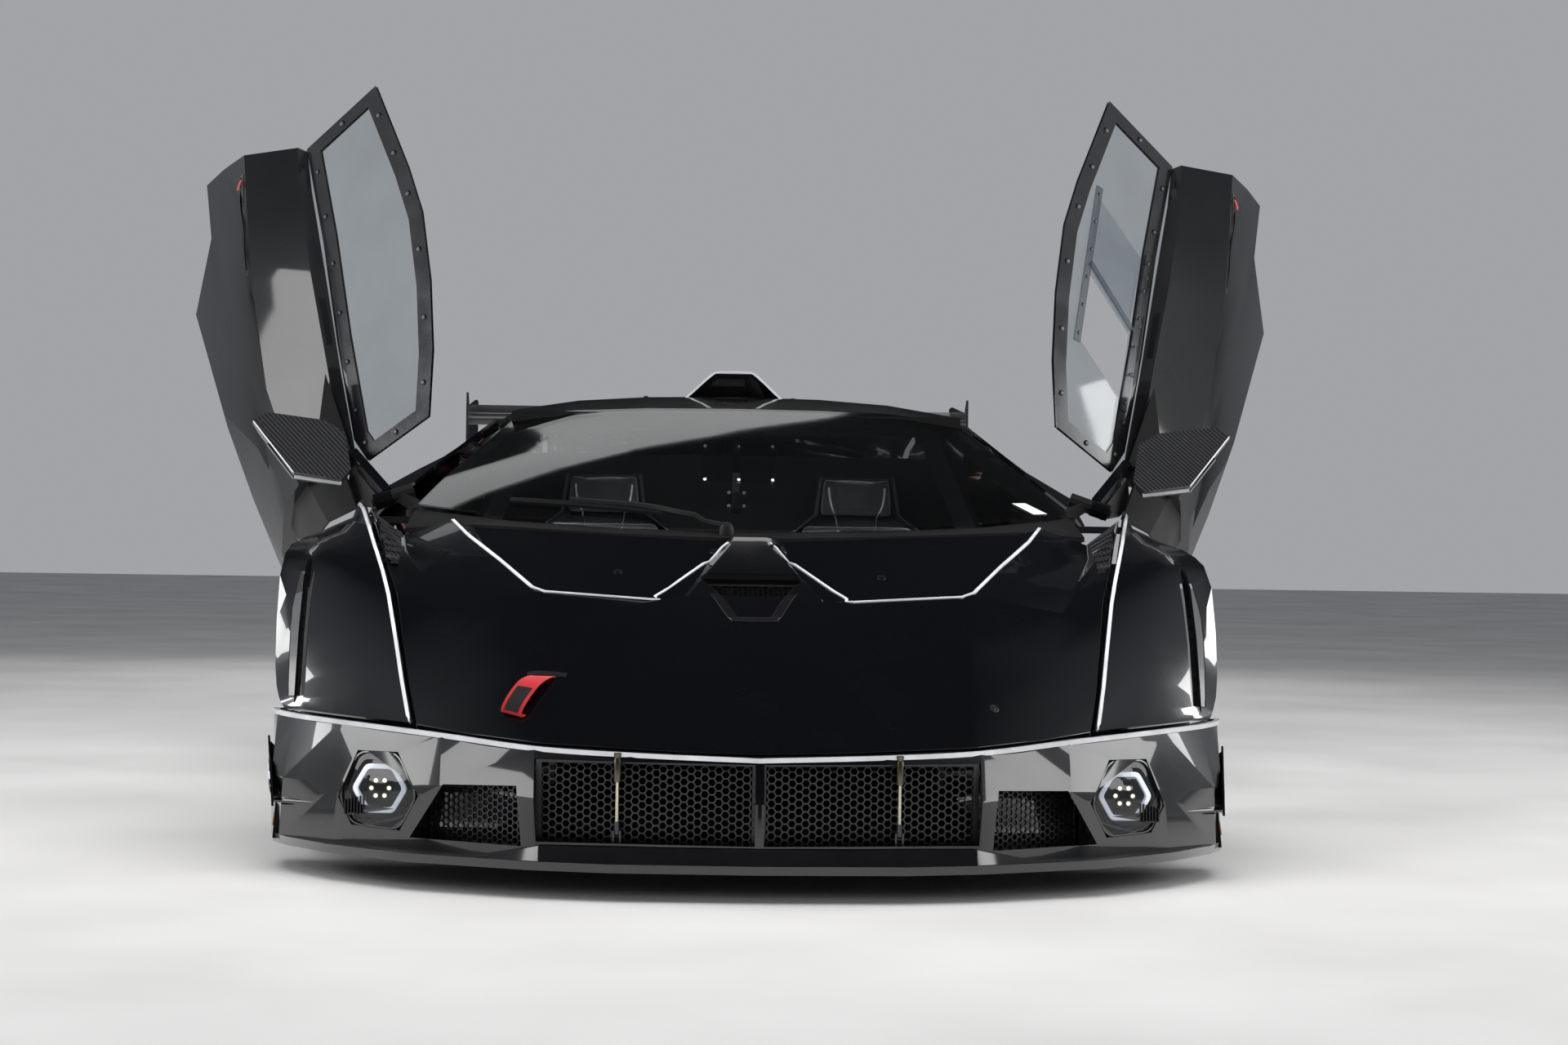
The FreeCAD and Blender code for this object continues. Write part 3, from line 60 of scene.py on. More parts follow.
# Materials
class Shader:
    """Builds one node material step by step, in object coordinates."""

    def __init__(self, name):
        self.mat = bpy.data.materials.new(name)
        self.mat.use_nodes = True
        self.tree = self.mat.node_tree
        self.out = self.tree.nodes["Material Output"]
        self.bsdf = self.tree.nodes["Principled BSDF"]
        self.coords = self.add("ShaderNodeTexCoord").outputs["Object"]

    def add(self, kind, **values):
        node = self.tree.nodes.new(kind)
        for key, value in values.items():
            setattr(node, key, value)
        return node

    def link(self, a, b):
        self.tree.links.new(a, b)

    def set(self, **values):
        for key, value in values.items():
            self.bsdf.inputs[key.replace("_", " ")].default_value = value
        return self

    def math(self, kind, a, b=0.0, c=0.0):
        node = self.add("ShaderNodeMath", operation=kind)
        for slot, value in zip(node.inputs, (a, b, c)):
            if isinstance(value, (int, float)):
                slot.default_value = value
            else:
                self.link(value, slot)
        return node.outputs[0]

    def noise(self, scale, detail=4.0, rough=0.55, stretch=None):
        node = self.add("ShaderNodeTexNoise")
        for slot, value in (("Scale", scale), ("Detail", detail), ("Roughness", rough)):
            node.inputs[slot].default_value = value
        if stretch:
            mapping = self.add("ShaderNodeMapping")
            mapping.inputs["Scale"].default_value = stretch
            self.link(self.coords, mapping.inputs["Vector"])
            self.link(mapping.outputs[0], node.inputs["Vector"])
        else:
            self.link(self.coords, node.inputs["Vector"])
        return node.outputs["Fac"]

    def ramp(self, fac, stops):
        node = self.add("ShaderNodeValToRGB")
        ramp = node.color_ramp
        while len(ramp.elements) < len(stops):
            ramp.elements.new(0.5)
        for element, (place, color) in zip(ramp.elements, stops):
            element.position = place
            element.color = (*color, 1.0)
        self.link(fac, node.inputs["Fac"])
        return node.outputs["Color"]

    def span(self, fac, low, high, start=0.3, end=0.7):
        """Spreads the part of fac between start and end over low to high."""
        node = self.add("ShaderNodeMapRange")
        for slot, value in (("From Min", start), ("From Max", end), ("To Min", low), ("To Max", high)):
            node.inputs[slot].default_value = value
        self.link(fac, node.inputs["Value"])
        return node.outputs[0]

    def color(self, socket):
        self.link(socket, self.bsdf.inputs["Base Color"])
        return self

    def rough(self, socket):
        self.link(socket, self.bsdf.inputs["Roughness"])
        return self

    def bump(self, height, strength=0.2, distance=0.001, coat=False):
        node = self.add("ShaderNodeBump")
        node.inputs["Strength"].default_value = strength
        node.inputs["Distance"].default_value = distance
        self.link(height, node.inputs["Height"])
        self.link(node.outputs[0], self.bsdf.inputs["Normal"])
        if coat:
            self.link(node.outputs[0], self.bsdf.inputs["Coat Normal"])
        return self

    def facing_plane(self, pattern):
        """Lays a flat pattern, a function of two coordinates, on the box plane that the normal faces."""
        xyz = self.add("ShaderNodeSeparateXYZ")
        self.link(self.coords, xyz.inputs[0])
        normal = self.add("ShaderNodeSeparateXYZ")
        geometry = self.add("ShaderNodeTexCoord")
        self.link(geometry.outputs["Normal"], normal.inputs[0])
        x, y, z = xyz.outputs
        ax, ay, az = (self.math("ABSOLUTE", o) for o in normal.outputs)
        top = self.math("GREATER_THAN", az, 0.62)
        side = self.math("MULTIPLY", self.math("GREATER_THAN", ax, ay), self.math("SUBTRACT", 1.0, top))
        front = self.math("SUBTRACT", 1.0, self.math("ADD", top, side))
        across = self.math("MULTIPLY", x, self.math("ADD", top, front))
        upright = self.math("MULTIPLY", z, self.math("ADD", side, front))
        u = self.math("ADD", across, self.math("MULTIPLY", y, side))
        v = self.math("ADD", self.math("MULTIPLY", y, top), upright)
        return pattern(u, v)

    def twill(self, size):
        """2 by 2 twill: 0 on weft tows, 1 on warp tows, and a height that rounds each tow."""

        def pattern(u, v):
            a = self.math("DIVIDE", u, size)
            b = self.math("DIVIDE", v, size)
            step = self.math("ADD", self.math("FLOOR", a), self.math("FLOOR", b))
            over = self.math("LESS_THAN", self.math("FLOORED_MODULO", step, 4.0), 2.0)
            warp = self.math("MULTIPLY", self.math("PINGPONG", a, 0.5), over)
            weft = self.math("MULTIPLY", self.math("PINGPONG", b, 0.5), self.math("SUBTRACT", 1.0, over))
            return over, self.math("ADD", warp, weft)

        return self.facing_plane(pattern)


def darker(color, share):
    return tuple(c * share for c in color)


def paint():
    s = Shader("black_gloss_paint")
    flake = s.noise(900.0, 2.0)
    dust = s.noise(7.0, 6.0)
    s.color(s.ramp(flake, [(0.35, (0.0012, 0.0012, 0.0016)), (0.8, (0.0035, 0.0038, 0.0055))]))
    s.rough(s.span(dust, 0.2, 0.3))
    s.bump(s.noise(3.0, 2.0), 0.03, 0.004, coat=True)
    s.set(Coat_Weight=1.0, Coat_Roughness=0.03, Coat_IOR=1.6, Specular_IOR_Level=0.25)
    return s.mat


def carbon(name, gloss, size=0.0028, light=0.035):
    s = Shader(name)
    over, height = s.twill(size)
    wear = s.noise(9.0, 5.0)
    dark = light * 0.35
    # Warp tows get a lighter grey than weft tows: a painted sheen of the fibres, which are all the same black
    s.color(s.ramp(over, [(0.0, (dark, dark, dark * 1.1)), (1.0, (light, light, light * 1.08))]))
    s.rough(s.span(wear, gloss, gloss + 0.12))
    s.bump(height, 0.35, 0.0006)
    s.set(Coat_Weight=0.6, Coat_Roughness=gloss * 0.5)
    return s.mat


def plastic(name, base, rough, grain=420.0, strength=0.3, coat=0.0):
    s = Shader(name)
    n = s.noise(grain, 3.0)
    big = s.noise(11.0, 5.0)
    s.color(s.ramp(big, [(0.3, darker(base, 0.75)), (0.7, base)]))
    s.rough(s.span(big, rough - 0.05, rough + 0.08))
    s.bump(n, strength, 0.0006)
    s.set(Coat_Weight=coat, Coat_Roughness=0.1)
    return s.mat


def metal(name, base, rough, stretch=(1.0, 1.0, 30.0), scale=60.0):
    s = Shader(name)
    n = s.noise(scale, 5.0, stretch=stretch)
    big = s.noise(8.0, 4.0)
    s.color(s.ramp(big, [(0.3, darker(base, 0.8)), (0.7, base)]))
    s.rough(s.span(n, rough - 0.06, rough + 0.1))
    s.bump(n, 0.08, 0.0004)
    s.set(Metallic=1.0)
    return s.mat


def rubber(name, base, rough=0.72):
    s = Shader(name)
    fine = s.noise(700.0, 3.0)
    big = s.noise(6.0, 6.0, 0.65)
    dusty = tuple(c * 2.3 + 0.004 for c in base)
    s.color(s.ramp(big, [(0.35, base), (0.8, dusty)]))
    s.rough(s.span(big, rough - 0.1, rough + 0.12))
    s.bump(fine, 0.35, 0.0007)
    return s.mat


def fabric(name, base, weave=0.0016, sheen=0.35):
    s = Shader(name)
    over, height = s.twill(weave)
    big = s.noise(14.0, 5.0)
    s.color(s.ramp(big, [(0.3, darker(base, 0.6)), (0.75, base)]))
    s.rough(s.span(over, 0.78, 0.92, 0.0, 1.0))
    s.bump(height, 0.5, 0.0009)
    s.set(Sheen_Weight=sheen, Sheen_Roughness=0.45)
    return s.mat


def clear(name, tint, rough=0.02, edge=0.85):
    """Thin glass that lets straight light through, so that a pane doesn't darken what is behind it."""
    s = Shader(name)
    dirt = s.noise(5.0, 6.0)
    glass = s.add("ShaderNodeBsdfTransparent")
    s.link(s.ramp(dirt, [(0.3, tint), (0.75, darker(tint, 0.93))]), glass.inputs["Color"])
    shine = s.add("ShaderNodeBsdfGlossy")
    shine.inputs["Color"].default_value = (1, 1, 1, 1)
    s.link(s.span(dirt, rough, rough + 0.02), shine.inputs["Roughness"])
    facing = s.add("ShaderNodeLayerWeight")
    facing.inputs["Blend"].default_value = 0.5
    share = s.math("MULTIPLY_ADD", s.math("POWER", facing.outputs["Facing"], 5.0), edge, 0.04)
    mix = s.add("ShaderNodeMixShader")
    s.link(share, mix.inputs[0])
    s.link(glass.outputs[0], mix.inputs[1])
    s.link(shine.outputs[0], mix.inputs[2])
    s.link(mix.outputs[0], s.out.inputs["Surface"])
    s.tree.nodes.remove(s.bsdf)
    return s.mat


def glow(name, color, strength):
    s = Shader(name)
    n = s.noise(160.0, 2.0)
    s.link(s.ramp(n, [(0.2, darker(color, 0.85)), (0.8, color)]), s.bsdf.inputs["Emission Color"])
    s.set(Emission_Strength=strength, Base_Color=(*color, 1.0), Roughness=0.3)
    return s.mat


PAINT = paint()
CARBON = carbon("carbon_twill_satin", 0.3)
CARBON_GLOSS = carbon("carbon_twill_lacquer", 0.16, light=0.03)
TRIM = plastic("grained_black_trim", (0.012, 0.012, 0.0125), 0.5)
MATTE = plastic("matte_black_skin", (0.009, 0.009, 0.0095), 0.62, 300.0)
SILVER = plastic("silver_line", (0.80, 0.81, 0.83), 0.22, 500.0, 0.05, 0.6)
ALLOY = metal("cast_alloy", (0.42, 0.42, 0.43), 0.42, (1, 1, 1), 240.0)
STEEL = metal("dark_steel", (0.16, 0.16, 0.17), 0.38)
TITANIUM = metal("heated_titanium", (0.42, 0.36, 0.31), 0.3)
IRON = metal("drilled_iron", (0.3, 0.3, 0.31), 0.34, (1, 1, 1), 90.0)
RIM = plastic("satin_rim_paint", (0.012, 0.012, 0.0125), 0.3, 500.0, 0.1, 0.5)
TYRE = rubber("tyre_rubber", (0.012, 0.012, 0.0125))
SEAT = fabric("black_seat_cloth", (0.02, 0.02, 0.022))
SCREEN = clear("tinted_screen", (0.70, 0.72, 0.73))
PANE = clear("clear_pane", (0.9, 0.92, 0.93), 0.02, 0.3)
LENS = clear("lamp_cover", (0.8, 0.82, 0.84))

MESH = metal("expanded_mesh", (0.11, 0.11, 0.115), 0.42, (1, 1, 1), 300.0)
GLOSS = plastic("black_lacquered_moulding", (0.008, 0.008, 0.009), 0.14, 260.0, 0.04, 1.0)
BRONZE = metal("bronze_strut", (0.17, 0.15, 0.11), 0.36, (1, 1, 12))
BRASS = metal("pale_rod", (0.72, 0.66, 0.5), 0.25, (1, 1, 12))
RING = glow("lamp_ring", (0.80, 0.85, 0.92), 0.3)
LED = glow("led_dot", (1.0, 0.96, 0.72), 1.5)
RED = glow("red_light", (0.9, 0.012, 0.012), 0.6)
RED_LENS = plastic("red_lens", (0.16, 0.004, 0.006), 0.12, 200.0, 0.1, 1.0)
AMBER = plastic("amber_reflector", (0.7, 0.3, 0.02), 0.25, 500.0, 0.3, 0.6)
WEBBING = fabric("red_webbing", (0.62, 0.012, 0.018), 0.0024, 0.2)
BLACK_CLOTH = fabric("black_patch", (0.012, 0.012, 0.013), 0.0012, 0.1)
FROST = clear("frosted_rail", (0.62, 0.64, 0.66), 0.22)
REFLECTOR = metal("mirror_glass", (0.82, 0.84, 0.86), 0.1, (1, 1, 1), 30.0)
REFLECTOR.node_tree.nodes["Principled BSDF"].inputs["Specular IOR Level"].default_value = 0.5
PERFORATED = fabric("seat_panel_cloth", (0.03, 0.03, 0.033), 0.0011, 0.5)
PALE_CAPS = plastic("pale_switch_caps", (0.5, 0.5, 0.52), 0.35, 600.0, 0.1, 0.3)
DISPLAY = plastic("dark_display", (0.006, 0.008, 0.012), 0.08, 900.0, 0.02, 1.0)
PIPING = fabric("pale_piping", (0.5, 0.5, 0.5), 0.0008, 0.1)
WHITE = plastic("white_label", (0.78, 0.78, 0.77), 0.5, 700.0, 0.05)
CENTER = metal("centre_nut", (0.5, 0.5, 0.52), 0.3)
# Near-black of the pipe liners: soot, and painted shade deep in the pipes
SOOT_AND_SHADE = plastic("pipe_soot_and_shade", (0.006, 0.006, 0.006), 0.8, 300.0)


# Places that come from the frame
def joint(name):
    """A joint of the frame, and the place and direction of its axis."""
    found = next(j for j in frame["joints"] if j["name"] == name)
    return found, Vector(found["pos_m"]), Vector(found["axis"])


door_joint, hinge, hinge_axis = joint("door_hinge_left")
OPEN_ANGLE = math.radians(-door_joint["range_deg"][0])
# The doors' pieces are drawn as if shut, and this turns them open as they are parked
PARKED = Matrix.Translation(hinge) @ Matrix.Rotation(OPEN_ANGLE, 4, hinge_axis) @ Matrix.Translation(-hinge)
MIRROR = Matrix.Scale(-1, 4, (1, 0, 0))
SIDES = (("left", Matrix()), ("right", MIRROR))
UP, DOWN = Vector((0, 0, 1)), Vector((0, 0, -1))


# Building pieces
def piece(name, verts, faces, mat, body, slot, place=Matrix(), smooth=35.0, bevel=0.0):
    """A mesh piece that rides on a body. place moves its points first; edges above smooth stay sharp."""
    bm = bmesh.new()
    made = [bm.verts.new(place @ Vector(v)) for v in verts]
    for f in faces:
        try:
            bm.faces.new([made[i] for i in f])
        except ValueError:
            # The same face is there already
            pass
    bmesh.ops.remove_doubles(bm, verts=bm.verts, dist=1e-6)
    bmesh.ops.recalc_face_normals(bm, faces=bm.faces)
    mesh = bpy.data.meshes.new(name)
    bm.to_mesh(mesh)
    bm.free()
    mesh.polygons.foreach_set("use_smooth", [True] * len(mesh.polygons))
    mesh.set_sharp_from_angle(angle=math.radians(smooth))
    mesh.materials.append(mat)
    obj = bpy.data.objects.new(name, mesh)
    scene.collection.objects.link(obj)
    if bevel:
        soften(obj, bevel)
    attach(obj, body)
    return obj


def soften(obj, width, angle=32.0):
    """Rounds the edges that are sharper than angle."""
    mod = obj.modifiers.new("rounded_edges", "BEVEL")
    mod.width = width
    mod.segments = 2
    mod.limit_method = "ANGLE"
    mod.angle_limit = math.radians(angle)
    mod.harden_normals = True
    mod.use_clamp_overlap = True


class Form:
    """Gathers points and faces of one piece, so that many small shapes can be one mesh."""

    def __init__(self):
        self.verts = []
        self.faces = []

    def add(self, verts, faces):
        base = len(self.verts)
        self.verts += [tuple(v) for v in verts]
        self.faces += [[base + i for i in f] for f in faces]
        return self

    def rings(self, rings, closed=True, caps=True):
        """Skin over rings of equal count."""
        n = len(rings[0])
        faces = []
        for k in range(len(rings) - 1):
            for i in range(n if closed else n - 1):
                j = (i + 1) % n
                faces.append([k * n + i, k * n + j, (k + 1) * n + j, (k + 1) * n + i])
        if caps:
            faces.append(list(range(n))[::-1])
            faces.append([(len(rings) - 1) * n + i for i in range(n)])
        return self.add([p for ring in rings for p in ring], faces)

    def block(self, low, high):
        (a, b, c), (d, e, f) = low, high
        return self.rings([[(x, y, z) for x, y in ((a, b), (d, b), (d, e), (a, e))] for z in (c, f)])

    def prism(self, outline, shift):
        base = [Vector(p) for p in outline]
        return self.rings([base, [p + Vector(shift) for p in base]])

    def lathe(self, profile, center, axis, steps=24, closed=False):
        """Turns (along, radius) points about an axis."""
        u, w, along = frame_of(axis)
        rings = []
        for a, r in profile:
            middle = Vector(center) + along * a
            rings.append([middle + (u * c + w * s) * r for c, s in oval(1.0, 1.0, steps)])
        if closed:
            rings.append(rings[0])
        return self.rings(rings, caps=not closed)

    def sweep(self, path, section, up=UP, loop=False):
        """Carries a closed (side, height) section along a path. up is one direction, or one per point."""
        rings = []
        for i, p in enumerate(path):
            a = path[i - 1] if i or loop else p
            b = path[(i + 1) % len(path)] if i < len(path) - 1 or loop else p
            way = (b - a).normalized()
            side = way.cross(Vector(up[i] if isinstance(up, list) else up)).normalized()
            top = side.cross(way)
            rings.append([p + side * s + top * t for s, t in section])
        if loop:
            rings.append(rings[0])
        return self.rings(rings, caps=not loop)

    def screw(self, center, axis, r=0.006, h=0.004):
        """Button head with a six-sided socket."""
        self.lathe([(0, r), (h * 0.5, r * 0.96), (h * 0.9, r * 0.7), (h, r * 0.48)], center, axis, 12)
        return self.lathe([(h * 1.02, r * 0.46), (h * 0.4, r * 0.42)], center, axis, 6)

    def screws_on(self, tree, points, way, r, h):
        """Button heads where the points drop onto a surface."""
        for point, normal in zip(*laid(tree, points, way)):
            self.screw(point, normal, r, h)
        return self

    def make(self, name, mat, slot, body="chassis", **options):
        return piece(name, self.verts, self.faces, mat, body, slot, **options)

    def both(self, name, mat, slot, body="chassis", place=Matrix(), **options):
        """The left piece and its mirror image. {} in the body's name stands for the side."""
        return [self.make(f"{name}_{side}", mat, slot, body.format(side), place=flip @ place, **options)
                for side, flip in SIDES]


def frame_of(axis):
    """Two directions across an axis, and the axis."""
    along = Vector(axis).normalized()
    helper = UP if abs(along.z) < 0.9 else Vector((1, 0, 0))
    u = along.cross(helper).normalized()
    return u, u.cross(along), along


def oval(w, h, steps, first=0.0):
    """Points round an ellipse; first is the share of a step before the first one."""
    turns = [2 * math.pi * (k + first) / steps for k in range(steps)]
    return [(w * math.cos(t), h * math.sin(t)) for t in turns]


def oblong(left, low, right, high):
    """Four corners of an upright rectangle."""
    return [(left, low), (right, low), (right, high), (left, high)]


def bar(half, low, high, top_half=None):
    """Section of a bar, narrower or wider at its top where top_half says so."""
    top = half if top_half is None else top_half
    return [(-half, low), (half, low), (top, high), (-top, high)]


def mm(points):
    return [Vector(p) / 1000 for p in points]


def curve_through(points, count):
    """Points on a smooth line through the given ones, count of them on each stretch."""
    pts = [Vector(p) for p in points]
    result = []
    for i in range(len(pts) - 1):
        a, b, c, d = pts[max(i - 1, 0)], pts[i], pts[i + 1], pts[min(i + 2, len(pts) - 1)]
        for k in range(count):
            t = k / count
            result.append(0.5 * (2 * b + (c - a) * t + (2 * a - 5 * b + 4 * c - d) * t * t
                                 + (3 * b - a - 3 * c + d) * t ** 3))
    result.append(pts[-1])
    return result


def between(points, step):
    """Fills straight runs so that no gap is longer than step."""
    result = [Vector(points[0])]
    for a, b in zip(points, points[1:]):
        a, b = Vector(a), Vector(b)
        n = max(1, math.ceil((b - a).length / step))
        result += [a.lerp(b, k / n) for k in range(1, n + 1)]
    return result


def rounded(outline, radius, steps=4):
    """Flat outline of 2-D points with its corners rounded."""
    result = []
    n = len(outline)
    for i in range(n):
        a, b, c = (Vector(outline[k % n]) for k in (i - 1, i, i + 1))
        u, v = (a - b), (c - b)
        r = min(radius, u.length * 0.45, v.length * 0.45)
        start, end = b + u.normalized() * r, b + v.normalized() * r
        for k in range(steps + 1):
            t = k / steps
            result.append(start * (1 - t) ** 2 + b * (2 * t * (1 - t)) + end * t ** 2)
    return result


def scaled(outline, share):
    """A 2-D outline drawn smaller about the mean of its points."""
    middle = sum(outline, Vector((0, 0))) / len(outline)
    return [middle + (p - middle) * share for p in outline]


def inset(outline, distance):
    """Moves each side of a 2-D outline inward."""
    n = len(outline)
    area = sum(outline[i - 1][0] * outline[i][1] - outline[i][0] * outline[i - 1][1] for i in range(n))
    sense = 1 if area > 0 else -1
    result = []
    for i in range(n):
        a, b, c = Vector(outline[i - 1]), Vector(outline[i]), Vector(outline[(i + 1) % n])
        u, v = (b - a).normalized(), (c - b).normalized()
        inward_u = Vector((-u.y, u.x)) * sense
        inward_v = Vector((-v.y, v.x)) * sense
        corner = inward_u + inward_v
        result.append(b + corner / max(corner.dot(inward_u), 0.35) * distance)
    return result


def tree_of(meshes, place=Matrix()):
    """Searchable surface of meshes."""
    verts, faces = [], []
    for mesh in meshes:
        base = len(verts)
        verts += [place @ v.co for v in mesh.vertices]
        faces += [[base + i for i in p.vertices] for p in mesh.polygons]
    return BVHTree.FromPolygons(verts, faces)


def skin_of(*names):
    """Searchable surface of CAD nodes as they are parked."""
    return tree_of([nodes[n].data for n in names])


def laid(tree, points, way, lift=0.0):
    """Drops points along a direction onto a surface, and returns them with the surface's normals."""
    way = Vector(way).normalized()
    found, normals = [], []
    for p in points:
        hit, normal, _, _ = tree.ray_cast(Vector(p) - way * 0.3, way, 0.8)
        if hit is None:
            hit, normal, _, _ = tree.find_nearest(Vector(p))
        if normal.dot(way) > 0:
            normal = -normal
        found.append(hit + normal * lift)
        normals.append(normal)
    return found, normals


def spot_on(tree, point, way, lift=0.0):
    """One point dropped onto a surface, and the normal there."""
    hits, normals = laid(tree, [point], way, lift)
    return hits[0], normals[0]


def ribbon(form, points, normals, width, thick=0.0018, sink=0.0012):
    """Flat strip that follows points, its top facing the normals."""
    return form.sweep(points, bar(width / 2, -sink, thick), list(normals))


def comb(form, start, along, up, width, height, cell=0.0095, wall=0.0017, depth=0.005):
    """Sheet of six-sided cells that fills a rectangle. cell is a cell's corner radius."""
    start, along, up = Vector(start), Vector(along).normalized(), Vector(up).normalized()
    back = up.cross(along).normalized() * depth
    row_step = 1.732 * cell
    columns = int((width - 2 * cell) / (1.5 * cell)) + 1
    rows = int((height - 1.5 * row_step) / row_step) + 1
    for i in range(columns):
        for j in range(rows):
            u = cell + 1.5 * cell * i
            w = cell * 0.866 * (1 + 2 * j + i % 2)
            outer, inner = ([start + along * (u + a) + up * (w + b) for a, b in oval(radius, radius, 6)]
                            for radius in (cell * 1.001, cell - wall))
            form.rings([outer, inner, [p + back for p in inner], [p + back for p in outer]], caps=False)
    return form


def frame_strip(form, start, along, up, width, height, band=0.012, depth=0.006):
    """Flat rim round a rectangle."""
    start, along, up = Vector(start), Vector(along).normalized(), Vector(up).normalized()
    back = up.cross(along).normalized() * depth
    for corners in ((0, 0, width, band), (0, height - band, width, height), (0, band, band, height - band),
                    (width - band, band, width, height - band)):
        form.prism([start + along * u + up * w for u, w in oblong(*corners)], back)
    return form


# Finish of the CAD nodes
FINISH = {
    "paint": PAINT, "carbon": CARBON_GLOSS, "trim": TRIM, "clear": PANE, "lamp": LENS, "seat": SEAT,
    "cast": ALLOY, "exhaust": TITANIUM, "chassis_metal": STEEL, "rim": RIM, "disc": IRON, "tyre": TYRE,
}
for part in frame["record"]["subparts"]:
    obj = nodes[part["node"]]
    obj.data.materials.clear()
    obj.data.materials.append(FINISH[part["material_slot"]])
    obj.data.polygons.foreach_set("material_index", [0] * len(obj.data.polygons))
for name, look in (("windscreen", SCREEN), ("tub", MATTE), ("splitter", GLOSS)):
    nodes[name].data.materials[0] = look

# Width of the rounding on each node's edges
BODY_PANELS = ("bonnet", "fender_left", "fender_right", "front_bumper", "quarter_left", "quarter_right",
               "rear_bumper", "splitter", "tub", "roof_scoop")
RUNNING_GEAR = ("exhausts", "rim_front_left", "rim_front_right", "rim_rear_left", "rim_rear_right",
                "knuckle_left", "knuckle_right")
ROUNDED = {
    0.0008: ("windscreen",), 0.0015: ("rear_wing",), 0.002: ("roof", "engine_cover", "floor_diffuser"),
    0.003: BODY_PANELS + RUNNING_GEAR, 0.004: ("door_left", "door_right"), 0.005: ("steering_wheel",),
    0.006: ("mirror_left", "mirror_right"), 0.01: ("dashboard",), 0.012: ("engine",),
}
for width, names in ROUNDED.items():
    for name in names:
        obj = nodes[name]
        mesh = obj.data
        if mesh.attributes.get("custom_normal"):
            mesh.attributes.remove(mesh.attributes["custom_normal"])
        mesh.polygons.foreach_set("use_smooth", [True] * len(mesh.polygons))
        weld = obj.modifiers.new("joined_corners", "WELD")
        weld.merge_threshold = 0.00002
        soften(obj, width, 28.0)


# Meshes in place of the coarse honeycomb of the grilles node: start, direction, width, height, cell
NETS = {
    "mouth": ((0.002, -2.372, 0.096), (0.450, 0.066, 0), 0.458, 0.186, 0.0095),
    "duct": ((0.470, -2.262, 0.080), (0.200, 0.130, 0), 0.262, 0.150, 0.0085),
    "tail": ((0.060, 2.068, 0.440), (1, 0, 0), 0.700, 0.190, 0.0135),
    "intake": ((0.790, 0.660, 0.200), (0.300, -0.060, 0), 0.285, 0.480, 0.0135),
}
for label, (start, along, width, height, cell) in NETS.items():
    net = Form()
    comb(net, start, along, UP, width, height, cell)
    frame_strip(net, start, along, UP, width, height)
    for obj in net.both(f"mesh_{label}", MESH, "trim", smooth=20.0):
        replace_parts(obj, "grilles")

# Silver line round the nose
NOSE = mm([(0, -2402, 286), (250, -2358, 291), (460, -2294, 298), (656, -2190, 315), (882, -2016, 329),
           (988, -1896, 333), (1042, -1796, 335), (1060, -1718, 336)])
half = curve_through(NOSE, 6)
whole = [Vector((-p.x, p.y, p.z)) for p in half[:0:-1]] + half
Form().sweep(whole, oblong(-0.010, -0.0065, 0.0022, 0.0028)).make("nose_line", SILVER, "trim", smooth=60.0)

# Silver lines along the fenders, and round the bonnet's scoops to the middle of the bonnet
FENDER_EDGE = mm([(724, -2102, 333), (749, -2008, 420), (799, -1776, 594), (842, -1598, 686),
                  (900, -1338, 790), (925, -1200, 803)])
SCOOP_EDGE = mm([(690, -1395, 762), (648, -1535, 730), (566, -1700, 676), (484, -1884, 618),
                 (456, -1906, 610), (222, -1884, 596), (207, -1881, 597), (215, -1712, 598),
                 (164, -1645, 630), (104, -1566, 671), (48, -1532, 714)])
FENDER_SLOPE = (-0.25, 0.6, -0.76)
bonnet_skin = skin_of("bonnet")
body_lines = Form()
edge = [p + Vector((0.006, 0.002, 0)) for p in between(curve_through(FENDER_EDGE, 2), 0.03)]
ribbon(body_lines, *laid(skin_of("fender_left"), edge, FENDER_SLOPE), 0.008)
points, normals = laid(bonnet_skin, between(SCOOP_EDGE, 0.02), DOWN)
# The strip lies flatter than the walls that it runs along
ribbon(body_lines, points, [Vector((n.x * 0.4, n.y * 0.4, 1)).normalized() for n in normals], 0.0075)
body_lines.both("body_lines", SILVER, "trim", smooth=50.0)

# Silver rim of the roof scoop
RIM_Y = -0.046
HALF_RIM = [(0.035, 1.184), (0.062, 1.176), (0.112, 1.130), (0.139, 1.106)]
rim = [(-x, RIM_Y, z) for x, z in HALF_RIM[::-1]] + [(x, RIM_Y, z) for x, z in HALF_RIM]
scoop_rim = Form().sweep(curve_through(rim, 4), bar(0.003, -0.002, 0.002), (0, -1, 0))
scoop_rim.make("scoop_rim", SILVER, "trim", smooth=60.0)

# Threaded stays between the bumper and the splitter
STAY_FOOT = Vector((0.288, -2.353, 0.106))


def above_foot(height):
    return STAY_FOOT + UP * height


stay, rod, fork = Form(), Form(), Form()
stay.lathe([(0, 0.0065), (0.002, 0.0075), (0.046, 0.0075), (0.048, 0.0062), (0.052, 0.0062), (0.054, 0.0075),
            (0.06, 0.0075)], above_foot(0.128), UP, 16)
rod.lathe([(0, 0.0038), (0.082, 0.0038), (0.084, 0.005)], above_foot(0.046), UP, 14)
fork.block(STAY_FOOT + Vector((-0.009, -0.008, -0.002)), STAY_FOOT + Vector((0.009, 0.008, 0.005)))
for x in (-0.009, 0.005):
    fork.block(STAY_FOOT + Vector((x, -0.006, 0.004)), STAY_FOOT + Vector((x + 0.004, 0.006, 0.03)))
fork.lathe([(-0.011, 0.0035), (0.011, 0.0035)], above_foot(0.018), (1, 0, 0), 10)
fork.lathe([(0, 0.006), (0.026, 0.005)], above_foot(0.022), UP, 12)
stay.both("stay_body", BRONZE, "trim")
rod.both("stay_rod", BRASS, "trim")
fork.both("stay_fork", STEEL, "trim", bevel=0.0006)

